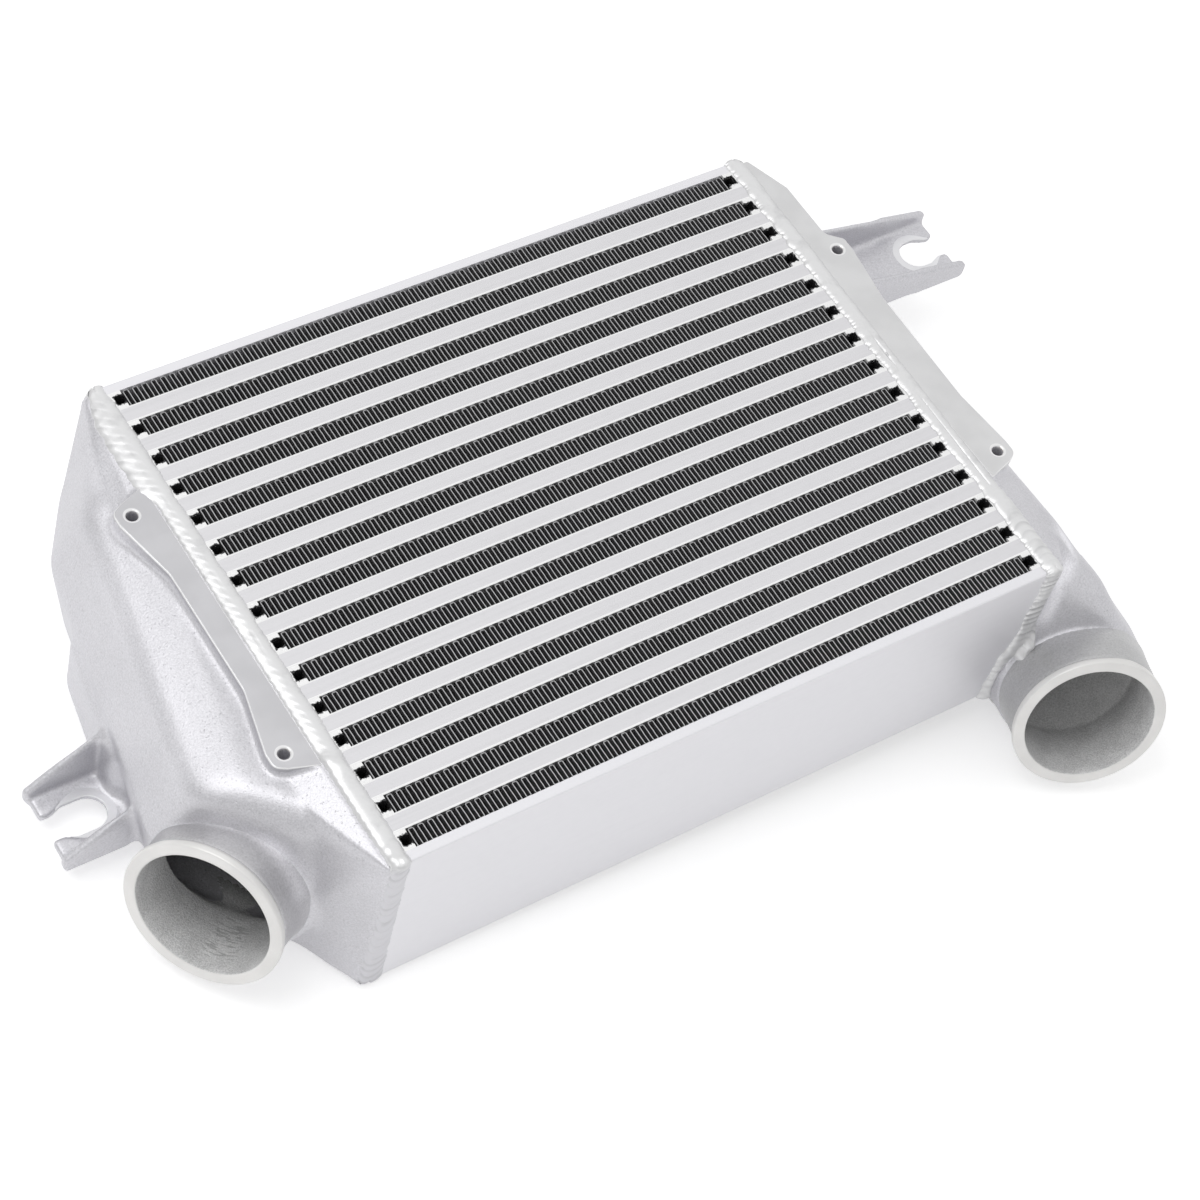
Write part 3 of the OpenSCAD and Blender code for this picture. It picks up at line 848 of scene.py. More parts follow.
@dataclass
class PortNeck:
    """Turned neck with its raised lip, over the cast body."""

    port: Port
    neck_end: float = -24.0
    lip_end: float = -4.6
    flare_from: float = -15.0
    flare: float = 1.3
    segments: int = 192
    skin: float = 0.0
    brushed: tuple["Ridge", ...] = ()

    def profile(self) -> np.ndarray:
        """Closed outline of the neck's wall.

        Returns:
            Radius and place along the axis, from the bore's inner end to the neck's outer end.
        """
        bead = [(LIP_R - 0.75 + 0.75 * math.sin(a), -0.75 + 0.75 * math.cos(a))
                for a in np.linspace(0, math.pi / 2, 7)]
        back = [(LIP_R, -2.2), (LIP_R - 0.1, -2.8), (LIP_R - 0.45, -3.5), (LIP_R - 1.1, -4.2),
                (NECK_R, -4.8), (NECK_R - 0.12, -5.0), (NECK_R - 0.12, -5.25), (NECK_R, -5.5)]
        widening = self.flare_from - self.neck_end
        neck = [(NECK_R + self.flare * max(0.0, (self.flare_from - s) / widening) ** 2, s)
                for s in np.linspace(-7, self.neck_end, 14)]
        bore = [(BORE_R + 1.9, self.neck_end), (BORE_R + 1.3, self.neck_end + 0.4),
                (BORE_R + 0.02, -22.9), (BORE_R - 0.02, -22.3), (BORE_R, -19.0),
                (BORE_R, -14.0), (BORE_R, -4.0), (BORE_R, -0.7), (BORE_R + 0.15, -0.25),
                (BORE_R + 0.55, 0.0), (BORE_R + 1.2, 0.0)]
        return np.array(bore + bead + back + neck)

    def surface(self) -> Surface:
        """Turn the outline round the port's axis.

        Returns:
            The closed ring; the outer side swells where the cast skin runs up to the lip.
        """
        origin, level, up, axis = self.port.frame
        outline = self.profile()
        angle = np.linspace(0, 2 * math.pi, self.segments, endpoint=False)
        ray = np.cos(angle)[:, None] * level + np.sin(angle)[:, None] * up
        r = np.repeat(outline[None, :, 0], self.segments, 0)
        outer = step_up(ray @ np.array((0.88, -0.42, 0.22)), 0.15, 0.55)
        on_neck = (outline[:, 0] > NECK_R - 0.3) & (outline[:, 1] < -4.0)
        r[:, on_neck] += (self.skin * outer[:, None] * np.ones(on_neck.sum()))
        s = outline[None, :, 1]
        points = (origin + ray[:, None, :] * r[:, :, None] + axis * s[:, :, None]).reshape(-1, 3)
        # Painted highlight: how much lighter each point is made along the given lines.
        marks = {"brushed": raised(self.brushed, points)}
        return Surface(points, [grid_faces(self.segments, len(outline), True, True)], marks)

    def build(self) -> bpy.types.Object:
        """Make the neck, with the lip and the bore in their own finishes.

        Returns:
            The piece.
        """
        name = self.port.side.value + "_port_neck"
        left = self.port.side is Side.LEFT
        piece = self.surface().object(name, LEFT_NECK if left else RIGHT_NECK, 50.0)
        piece.data.materials.append(LIP.build())
        piece.data.materials.append((LEFT_BORE if left else RIGHT_BORE).build())
        r, s, _ = self.port.local(centres(piece.data))
        index = np.where(s > self.lip_end, 1, 0)
        index[r < BORE_R + 0.1] = 2
        piece.data.polygons.foreach_set("material_index", index.astype(np.int32))
        return piece


@dataclass
class ThreadedHole:
    """Tapped hole's wall with its helical thread; its chamfer comes with the flat cap round it."""

    x: float
    y: float
    drill_r: float = 2.5
    depth: float = 13.8
    pitch: float = 1.0
    groove: float = 0.32
    segments: int = 36

    def thread(self) -> Surface:
        """Wall of the hole as a helical saw profile.

        Returns:
            The wall, open at the mouth.
        """
        rows = int(self.depth / self.pitch * 6)
        z = -0.45 - np.arange(rows)[:, None] * self.pitch / 6
        angle = np.linspace(0, 2 * math.pi, self.segments, endpoint=False)[None, :]
        phase = (z / self.pitch + angle / (2 * math.pi)) % 1.0
        r = self.drill_r + 0.02 + self.groove * (1 - np.abs(2 * phase - 1))
        r = np.where(z > -0.6, self.drill_r + 0.02, r)
        x = self.x + r * np.cos(angle)
        y = self.y + r * np.sin(angle)
        points = np.stack([x, y, np.broadcast_to(z, x.shape)], -1).reshape(-1, 3)
        end = np.array([[self.x, self.y, float(z[-1, 0])]])
        last = (rows - 1) * self.segments + np.arange(self.segments)
        floor = np.stack([last, np.roll(last, -1), np.full(self.segments, len(points))], -1)
        wall = grid_faces(rows, self.segments, False, True)
        return Surface(np.vstack([points, end]), [wall, floor])

    def build(self, name: str) -> bpy.types.Object:
        """Make the thread."""
        return self.thread().object(name, THREAD, 60.0)


@dataclass
class FlatCap:
    """Crisp machined face over the smoothed casting, taken from the flat faces of the CAD."""

    node: str
    height: float
    name: str
    finish: Finish
    reach: float = 0.0
    land: float = 4.6
    edge: float = 0.55
    skirt: float = 2.4
    lift: float = 0.0
    hole_round: float = 30.0

    def loops(self) -> tuple[np.ndarray, np.ndarray, list[list[int]]]:
        """Collect the flat faces at the cap's height.

        Returns:
            Points, triangles and the boundary loops, with the metal on their left.
        """
        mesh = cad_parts[self.node].data
        mesh.calc_loop_triangles()
        points = coordinates(mesh)
        tris = np.array([t.vertices for t in mesh.loop_triangles])
        corner = points[tris]
        normal = np.cross(corner[:, 1] - corner[:, 0], corner[:, 2] - corner[:, 0])
        flat = (np.abs(corner[:, :, 2] - self.height).max(1) < 0.01) & (normal[:, 2] > 0)
        away = np.abs(corner[:, :, 0]) - SEAM
        flat &= (away.min(1) > self.reach - 0.01) & (away.max(1) > self.land)
        tris = tris[flat]
        keys = {}
        welded = np.empty(len(points), int)
        for i in np.unique(tris):
            welded[i] = keys.setdefault(tuple(np.round(points[i, :2], 3)), i)
        tris = welded[tris]
        used, compact = np.unique(tris, return_inverse=True)
        tris = compact.reshape(-1, 3)
        points = points[used]
        edges = {(int(t[i]), int(t[(i + 1) % 3])) for t in tris for i in range(3)}
        follow = {a: b for a, b in edges if (b, a) not in edges}
        rings: list[list[int]] = []
        while follow:
            start, nxt = follow.popitem()
            ring = [start]
            while nxt != start and nxt in follow:
                ring.append(nxt)
                nxt = follow.pop(nxt)
            rings.append(ring)
        return points, tris, rings

    def surface(self) -> Surface:
        """Flat top with a rounded edge and a skirt down into the casting.

        Returns:
            The cap, open underneath.
        """
        points, tris, rings = self.loops()
        points[:, 2] = self.height + self.lift
        inward = np.zeros_like(points)
        small = []
        for ring in rings:
            p = points[ring]
            ahead = np.roll(p, -1, 0) - p
            ahead /= np.maximum(np.linalg.norm(ahead, axis=1), 1e-9)[:, None]
            behind = np.roll(ahead, 1, 0)
            n = np.stack([-ahead[:, 1], ahead[:, 0], 0 * ahead[:, 0]], -1)
            m = np.stack([-behind[:, 1], behind[:, 0], 0 * behind[:, 0]], -1)
            both = n + m
            both /= np.maximum((both * n).sum(1), 0.5)[:, None]
            inward[ring] = both
            around = np.linalg.norm(np.roll(p, -1, 0) - p, axis=1).sum()
            small.append(around < self.hole_round)
        top = points.copy()
        for ring, hole in zip(rings, small):
            if not hole:
                top[ring] += inward[ring] * self.edge
        result = Surface(top, [tris])
        e = self.edge
        outer = [(e, 0.0), (e * 0.62, -0.06 * e), (e * 0.28, -0.26 * e), (e * 0.06, -0.6 * e),
                 (0.0, -1.1 * e), (0.0, -self.skirt)]
        inner = [(0.0, 0.0), (-0.1, -0.02), (-0.52, -0.5)]
        for ring, hole in zip(rings, small):
            steps = inner if hole else outer
            rows = [points[ring] + inward[ring] * d + np.array([0, 0, z]) for d, z in steps]
            faces = grid_faces(len(steps), len(ring), False, True)[:, ::-1]
            result = result.joined(Surface(np.vstack(rows), [faces]))
        return result

    def build(self) -> bpy.types.Object:
        """Make the cap, with a painted highlight on its rounded edge.

        Returns:
            The piece.
        """
        piece = self.surface().object(self.name, self.finish, 50.0)
        piece.data.materials.append(RIM_HIGHLIGHT.build())
        normal = np.array([p.normal for p in piece.data.polygons])
        low = self.height + self.lift - 1.4 * self.edge
        # The rounded edge and chamfer faces take the painted highlight.
        bright = (np.abs(normal[:, 2]) < 0.985) & (centres(piece.data)[:, 2] > low)
        piece.data.polygons.foreach_set("material_index", bright.astype(np.int32))
        return piece


@dataclass(frozen=True)
class Ridge:
    """A line on a casting: a raised one, such as a mould's parting line or the rim of a flat band,
    and also the path of a painted highlight.
    """

    points: tuple[Triple, ...]
    height: float
    width: float
    taper: float = 0.15

    def rise(self, p: np.ndarray) -> np.ndarray:
        """How far each point is raised.

        Args:
            p: points in millimetres.

        Returns:
            The rise along the surface's normal.
        """
        best = np.full(len(p), 1e9)
        share = np.ones(len(p))
        knots = np.array(self.points)
        for k in range(len(knots) - 1):
            a, b = knots[k], knots[k + 1]
            t = np.clip(((p - a) @ (b - a)) / ((b - a) @ (b - a)), 0, 1)
            away = np.linalg.norm(p - a - t[:, None] * (b - a), axis=1)
            nearer = away < best
            best[nearer] = away[nearer]
            share[nearer] = ((k + t) / (len(knots) - 1))[nearer]
        fade = step_up(share, 0.0, self.taper) * step_up(-share, -1.0, self.taper - 1)
        return self.height * fade * np.exp(-(best / self.width) ** 2)


def raised(lines: Sequence[Ridge], points: np.ndarray) -> np.ndarray:
    """How far some lines together raise each point, which is also how much lighter a painted
    highlight makes it.
    """
    return sum((line.rise(points) for line in lines), np.zeros(len(points)))


@dataclass
class CastTank:
    """Cast end tank: the CAD form with its edges softened like a casting."""

    port: Port
    fork_reach: float
    fork_y: float
    voxel: float = 0.95
    rounds: int = 42
    ridges: tuple[Ridge, ...] = ()
    brushed: tuple[Ridge, ...] = ()
    corners: tuple[tuple[int, float], ...] = ((1, 9.0), (-1, 4.0))
    triangles: int = 150000
    seam_fade: Span = (3.2, 7.0)
    pad_fade: Span = (-11.0, -2.0)
    pad_reach: float = 26.0
    pad_held: float = 0.85
    neck_fade: Span = (-29.0, -22.0)
    neck_round: Span = (-46.0, -38.0)
    fork_fade: Span = (55.0, 66.0)
    fork_root: float = 34.0
    fork_half: Span = (-24.0, -20.0)
    fork_held: float = 0.8
    saddle_round: tuple[Span, Span] = ((32.5, 35.0), (-56.0, -48.0))
    saddle_along: tuple[Span, Span] = ((-62.0, -54.0), (12.0, 20.0))
    saddle_rounds: int = 60
    back_corner: Span = (98.0, 110.0)
    ridge_fade: Span = (19.0, 33.0)
    cap_from: float = 4.0
    cap_depth: float = 0.8
    cap_gap: float = 0.35
    neck_split: float = 30.0
    hold_from: float = -22.5
    bore_fit: Span = (-32.0, -27.0)
    tucked: float = 0.7
    face_depth: float = 1.6
    bore_depth: float = 46.0

    @property
    def node(self) -> str:
        """Name of the CAD node."""
        return self.port.side.value + "_tank"

    def remeshed(self) -> bpy.types.Object:
        """Even mesh of the CAD form.

        Returns:
            A new object, which holds small quads only.
        """
        body = bpy.data.objects.new(self.node + "_body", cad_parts[self.node].data.copy())
        bpy.context.scene.collection.objects.link(body)
        remesh = body.modifiers.new("even", "REMESH")
        remesh.mode = "VOXEL"
        remesh.voxel_size = self.voxel * MM
        self.apply(body)
        return body

    def apply(self, body: bpy.types.Object) -> None:
        """Bake the object's modifiers into its mesh.

        Args:
            body: the object.
        """
        graph = bpy.context.evaluated_depsgraph_get()
        mesh = bpy.data.meshes.new_from_object(body.evaluated_get(graph))
        body.modifiers.clear()
        body.data = mesh

    def freedom(self, p: np.ndarray) -> np.ndarray:
        """How far each point may move when the form is softened.

        Args:
            p: points in millimetres.

        Returns:
            Nought for points that stay, one for free ones.
        """
        out = np.abs(p[:, 0]) - SEAM
        free = step_up(out, *self.seam_fade)
        pad = step_up(p[:, 2], *self.pad_fade) * step_up(self.pad_reach - out, 0.0, 4.0)
        free *= 1 - self.pad_held * pad
        r, s, _ = self.port.local(p)
        free *= 1 - step_up(s, *self.neck_fade) * step_up(-r, *self.neck_round)
        root = self.fork_reach - self.fork_root
        on_fork = step_up(-p[:, 2], *self.fork_fade) * step_up(out, root, root + 8.0)
        on_fork *= step_up(-np.abs(p[:, 1] - self.fork_y), *self.fork_half)
        return free * (1 - self.fork_held * on_fork)

    def soften(self, p: np.ndarray, edges: np.ndarray) -> np.ndarray:
        """Smooth the form along its surface without shrinking it much.

        Args:
            p: points in millimetres.
            edges: pairs of neighbours.

        Returns:
            The moved points.
        """
        count = np.bincount(edges.ravel(), minlength=len(p)).astype(float)[:, None]
        a, b = edges[:, 0], edges[:, 1]

        def blurred(q: np.ndarray, weight: np.ndarray, rounds: int) -> np.ndarray:
            """Run a number of smoothing rounds.

            Args:
                q: points.
                weight: how far each one follows its neighbours.
                rounds: number of rounds.

            Returns:
                The moved points.
            """
            for _ in range(rounds):
                total = np.stack([np.bincount(a, q[b, k], len(q)) + np.bincount(b, q[a, k], len(q))
                                  for k in range(3)], -1)
                q = q + weight * (total / count - q)
            return q

        free = self.freedom(p)
        weight = (0.5 * free)[:, None]
        r, s, _ = self.port.local(p)
        saddle = step_up(r, *self.saddle_round[0]) * step_up(-r, *self.saddle_round[1])
        saddle *= step_up(s, *self.saddle_along[0])
        saddle *= step_up(-s, *self.saddle_along[1]) * free
        corner = step_up(p[:, 1], *self.back_corner) * free
        saddle = np.maximum(saddle, corner)
        once = blurred(p, weight, self.rounds)
        sharp = once + (once - blurred(once, weight, self.rounds))
        even = (0.5 * saddle)[:, None]
        soft = blurred(sharp, even, self.saddle_rounds)
        return soft + blurred(sharp - soft, even, self.saddle_rounds)

    def round_corners(self, p: np.ndarray) -> np.ndarray:
        """Round the edges along X beside the seam, more the farther out they are.

        Args:
            p: points in millimetres.

        Returns:
            The moved points.
        """
        p = p.copy()
        size = step_up(np.abs(p[:, 0]) - SEAM, 0.5, 7.0)
        for end, radius in self.corners:
            for level, up in ((0.0, 1.0), (-CORE_T, -1.0)):
                r = radius * size
                a = end * p[:, 1] - (HALF_W - r)
                b = up * (p[:, 2] - level) + r
                d = np.maximum(np.hypot(a, b), 1e-6)
                outside = (a > 0) & (b > 0) & (d > r) & (a < r + 1.5) & (b < r + 1.5)
                p[outside, 1] = end * (HALF_W - r + a * r / d)[outside]
                p[outside, 2] = level + up * (b * r / d - r)[outside]
        return p

    def tuck_neck(self, p: np.ndarray) -> np.ndarray:
        """Draw the casting's neck into the wall of the turned neck that covers it.

        Args:
            p: points in millimetres.

        Returns:
            The moved points.
        """
        origin, _, _, axis = self.port.frame
        r, s, ray = self.port.local(p)
        outer = r > self.neck_split
        fit = ~outer & (s > self.bore_fit[0]) & (s <= self.hold_from)
        close = (1 - step_up(np.abs(r - BORE_R), 0.5, 1.0)) * step_up(s, *self.bore_fit)
        new_r = np.where(fit, r + (BORE_R - r) * close, r)
        covered = (r < NECK_R + 1.8) | ((s > -7.0) & (r < LIP_R + 2))
        near = (s > self.hold_from) & (r > BORE_R - 3) & covered
        share = step_up(s, self.hold_from, self.hold_from + 1.5)
        share *= np.where(outer & (s < -7.0), 1 - step_up(r, NECK_R + 0.3, NECK_R + 1.7), 1.0)
        wanted = np.where(outer, np.minimum(r, NECK_R - self.tucked),
                          np.maximum(r, BORE_R + self.tucked))
        held = np.where(outer, r, BORE_R)
        new_r = np.where(near, held + (wanted - held) * share, new_r)
        new_s = np.where(near, np.minimum(s, -self.face_depth), s)
        return origin + ray * new_r[:, None] + axis * new_s[:, None]

    def build(self) -> bpy.types.Object:
        """Make the softened casting.

        Returns:
            The piece.
        """
        body = self.remeshed()
        mesh = body.data
        p = coordinates(mesh)
        edges = np.empty(len(mesh.edges) * 2, np.int32)
        mesh.edges.foreach_get("vertices", edges)
        raw = p.copy()
        p = self.round_corners(self.soften(p, edges.reshape(-1, 2)))
        out = np.abs(raw[:, 0]) - SEAM
        under_cap = (raw[:, 2] > -self.cap_depth) & (out > self.cap_from)
        p[under_cap, 2] = np.minimum(p[under_cap, 2], -self.cap_gap)
        if self.ridges:
            mesh.vertices.foreach_set("co", (p * MM).ravel())
            mesh.update()
            normal = np.empty(len(p) * 3)
            mesh.vertices.foreach_get("normal", normal)
            _, along, _ = self.port.local(p)
            rise = raised(self.ridges, p) * step_up(-along, *self.ridge_fade)
            p = p + normal.reshape(-1, 3) * rise[:, None]
        p = self.tuck_neck(p)
        mesh.vertices.foreach_set("co", (p * MM).ravel())
        mesh.update()
        thin = body.modifiers.new("fewer", "DECIMATE")
        thin.ratio = min(1.0, self.triangles / (2 * len(mesh.polygons)))
        self.apply(body)
        mesh = body.data
        # Painted highlight along the given lines, for the casting's finish to read.
        mark(mesh, "brushed", raised(self.brushed, coordinates(mesh)))
        mesh.shade_smooth()
        mesh.materials.clear()
        mesh.materials.append(CAST.build())
        mesh.materials.append((LEFT_BORE if self.port.side is Side.LEFT else RIGHT_BORE).build())
        r, s, _ = self.port.local(centres(mesh))
        inside = (r < BORE_R + 2.2) & (s > -self.bore_depth)
        mesh.polygons.foreach_set("material_index", inside.astype(np.int32))
        return body


@dataclass(frozen=True)
class Blob:
    """A lump on a weld: where it is along the loop and across, its radius and its height."""

    along: float
    across: float
    radius: float
    height: float


@dataclass(frozen=True)
class Knot:
    """How the welder worked at one place of the loop; the values change evenly between two."""

    along: float
    pitch: float
    swell: float
    height: float
    half: float
    sway: float = 0.1
    wide: float = 0.0
    shift: float = 0.0
    sag: float = 0.6
    lean: float = 0.0
    matt: float = 0.0


@dataclass
class WeldLoop:
    """Rippled bead round the seam between a tank and the core."""

    side: Side
    knots: tuple[Knot, ...]
    seed: int = 3
    step: float = 0.42
    columns: int = 22
    fringe: float = 0.7
    top: float = 2.7
    probe: float = 7.0
    climb: float = 0.3
    crest: float = 0.76
    corner: float = 2.6
    corner_steps: int = 10
    settle: int = 14
    lowest: float = -6.0
    beyond: float = -2.0
    foot: float = -0.25
    root: float = -0.6
    blobs: tuple[Blob, ...] = ()

    def path(self) -> tuple[np.ndarray, np.ndarray, np.ndarray]:
        """Walk round the seam, over the top to the front, down, back along the bottom and up.

        Returns:
            Base points, outward normals (both in Y and Z) and the length walked so far.
        """
        corner = [(HALF_W, 0.0), (-HALF_W, 0.0), (-HALF_W, -CORE_T), (HALF_W, -CORE_T)]
        normal = [(0.0, 1.0), (-1.0, 0.0), (0.0, -1.0), (1.0, 0.0)]
        base, out, walked, total = [], [], [], 0.0
        for k in range(4):
            a, b = np.array(corner[k]), np.array(corner[(k + 1) % 4])
            length = float(np.linalg.norm(b - a))
            count = int(length / self.step)
            for i in range(count):
                base.append(a + (b - a) * i / count)
                out.append(normal[k])
                walked.append(total + length * i / count)
            total += length
            turn0 = math.atan2(normal[k][1], normal[k][0])
            for i in range(self.corner_steps):
                share = (i + 0.5) / self.corner_steps
                angle = turn0 + math.pi / 2 * share
                base.append(b)
                out.append((math.cos(angle), math.sin(angle)))
                walked.append(total + self.corner * share)
            total += self.corner
        return np.array(base), np.array(out), np.array(walked)

    def at(self, walked: np.ndarray, name: str) -> np.ndarray:
        """Values of one knot field along the loop."""
        places = [knot.along for knot in self.knots]
        return np.interp(walked, places, [getattr(knot, name) for knot in self.knots])

    def skin(self, walked: np.ndarray, u: np.ndarray) -> tuple[np.ndarray, np.ndarray, np.ndarray]:
        """Shape of the bead.

        Args:
            walked: length along the loop, one to a row.
            u: place across the bead from -1, beside the core, to 1.

        Returns:
            Distance from the core's middle, height over the metal and depth of the groove between
            two ripples from nought to one, for all rows and columns.
        """
        rng = np.random.default_rng(self.seed)
        n = len(walked)
        slow, mid, fast = wander(n, 46, rng), wander(n, 150, rng), wander(n, 420, rng)
        pace = np.cumsum(np.gradient(walked) / self.at(walked, "pitch")) + 0.3 * wander(n, 60, rng)
        lean = self.at(walked, "lean")[:, None]
        sag = self.at(walked, "sag")[:, None] * (1 - u[None, :] ** 2)
        phase = (pace[:, None] + sag + lean * u[None, :]) % 1.0
        ridge = np.where(phase < self.crest, phase / self.crest,
                         (1 - phase) / (1 - self.crest)) ** 1.3
        arch = np.clip(1 - np.abs(u) ** 2.4, 0, 1)[None, :] ** 0.75
        high = self.at(walked, "height") * (1 + 0.10 * slow + 0.06 * mid)
        one_sided = 1 - np.minimum(lean, 1.0) * (1 - step_up(u, -0.25, 0.25))[None, :]
        swell = (self.at(walked, "swell") * (1 + 0.5 * mid))[:, None] * one_sided
        high = (high[:, None] - swell * (1 - ridge)) * arch
        high = high * (1 - 0.3 * np.minimum(lean, 1.0) * step_up(u, 0.0, 1.0)[None, :])
        notch = 0.5 * (1 + np.cos(2 * math.pi * (pace + 0.1)))
        half = self.at(walked, "half") * (1 + 0.04 * slow + 0.02 * mid)
        tank_half = half + self.at(walked, "wide") * (1 + 0.12 * mid) - 0.25 * notch
        core_half = half + self.fringe * (0.35 * mid + 0.65 * np.abs(fast) - 0.3)
        place = u[None, :] * np.where(u[None, :] < 0, core_half[:, None], tank_half[:, None])
        for blob in self.blobs:
            away = (walked[:, None] - blob.along) ** 2 + (place - blob.across) ** 2
            high = high + blob.height * np.exp(-away / blob.radius ** 2) * (arch > 0)
        groove = (1 - ridge) * np.clip(2.4 * swell, 0, 1) * (arch > 0)
        x = SEAM + place + (self.at(walked, "sway") * slow + self.at(walked, "shift"))[:, None]
        return x, np.minimum(high, self.top), groove

    def ground(self, body: bpy.types.Object, base: np.ndarray, out: np.ndarray,
               x: np.ndarray) -> np.ndarray:
        """Height of the tank's skin under the bead.

        Args:
            body: the tank.
            base: base points of the loop.
            out: outward normals.
            x: distance from the core's middle, one row to a base point.

        Returns:
            Heights over the core's faces, nought on the core's side.
        """
        level = np.zeros(x.shape)
        for i in range(len(base)):
            way = Vector((0.0, -out[i, 0], -out[i, 1]))
            for j in range(x.shape[1]):
                if x[i, j] < SEAM - 1.5:
                    continue
                start = Vector((self.side.sign * x[i, j], base[i, 0], base[i, 1])) * MM
                start = start - way * self.probe * MM
                hit, place, normal, _ = body.ray_cast(start, way, distance=3 * self.probe * MM)
                if hit:
                    inside = normal.dot(way) > 0
                    level[i, j] = self.probe if inside else self.probe - (place - start).length / MM
                elif x[i, j] > SEAM + 1.0:
                    level[i, j] = self.beyond
        level = np.clip(level, self.lowest, self.climb)
        for _ in range(self.settle):
            level = 0.5 * level + 0.25 * (np.roll(level, 1, 0) + np.roll(level, -1, 0))
        return level

    def build(self, body: bpy.types.Object) -> bpy.types.Object:
        """Sweep the bead round the seam.

        Args:
            body: the tank it lies on.

        Returns:
            The piece.
        """
        base, out, walked = self.path()
        u = np.sin(np.linspace(-math.pi / 2, math.pi / 2, self.columns))
        x, high, groove = self.skin(walked, u)
        high[:, 0] = high[:, -1] = self.foot
        high = high + self.ground(body, base, out, x)
        high = np.hstack([high, np.full((len(base), 1), self.root)])
        x = np.hstack([x, np.full((len(base), 1), SEAM)])
        groove = np.hstack([groove, np.zeros((len(base), 1))])
        y = base[:, 0, None] + out[:, 0, None] * high
        z = base[:, 1, None] + out[:, 1, None] * high
        points = np.stack([self.side.sign * x, y, z], -1).reshape(-1, 3)
        faces = grid_faces(len(base), self.columns + 1, True, True)
        if self.side is Side.LEFT:
            faces = faces[:, ::-1]
        matt = np.repeat(self.at(walked, "matt")[:, None], self.columns + 1, 1)
        marks = {"groove": groove.ravel(), "matt": matt.ravel()}
        return Surface(points, [faces], marks).object(self.side.value + "_weld_bead", WELD, 60.0)


@dataclass
class FinRow:
    """One corrugated fin: thin parallel walls joined by rounded folds."""

    index: int
    walls: int = 142
    sheet: float = 0.40
    half: float = 146.2
    recess: float = 0.8
    fold_r: float = 0.5
    row_gap: float = 0.08
    end_gap: float = 1.0
    jitter: float = 0.05
    wave: float = 0.045

    def midline(self, rng: np.random.Generator) -> np.ndarray:
        """Path of the sheet's middle along the row.

        Args:
            rng: source of the small irregularities.

        Returns:
            Points in X and Y.
        """
        y = (ROWS - 1) * PITCH / 2 - self.index * PITCH
        reach = ROW_H / 2 - self.row_gap - self.sheet / 2
        place = np.linspace(-self.half + self.end_gap, self.half - self.end_gap, self.walls)
        place = place + rng.normal(0, self.jitter, self.walls)
        r = self.fold_r
        arc = ((r, 0.0), (0.29 * r, 0.29 * r), (0.0, r))
        points = []
        for k, x in enumerate(place):
            up = 1 if k % 2 == 0 else -1
            points += [(x - dx, y - up * (reach - dy)) for dx, dy in arc]
            points += [(x + rng.normal(0, self.wave), y + up * share * reach)
                       for share in (-0.45, 0.0, 0.45)]
            points += [(x + dx, y + up * (reach - dy)) for dx, dy in reversed(arc)]
        return np.array(points)

    def build(self) -> Surface:
        """Thicken the path and draw it through the core.

        Returns:
            The fin as a closed mesh.
        """
        rng = np.random.default_rng(100 + self.index)
        mid = self.midline(rng)
        ahead = np.gradient(mid, axis=0)
        ahead /= np.maximum(np.linalg.norm(ahead, axis=1), 1e-9)[:, None]
        side = np.stack([-ahead[:, 1], ahead[:, 0]], -1) * self.sheet / 2
        outline = np.vstack([mid + side, (mid - side)[::-1]])
        n = len(outline)
        m = len(mid)
        levels = [-self.recess, -CORE_T + self.recess]
        points = np.vstack([np.hstack([outline, np.full((n, 1), z)]) for z in levels])
        k = np.arange(m - 1)
        cap = np.stack([k, k + 1, n - 2 - k, n - 1 - k], -1)
        return Surface(points, [grid_faces(2, n, False, True), cap[:, ::-1], cap + n])


# Scene


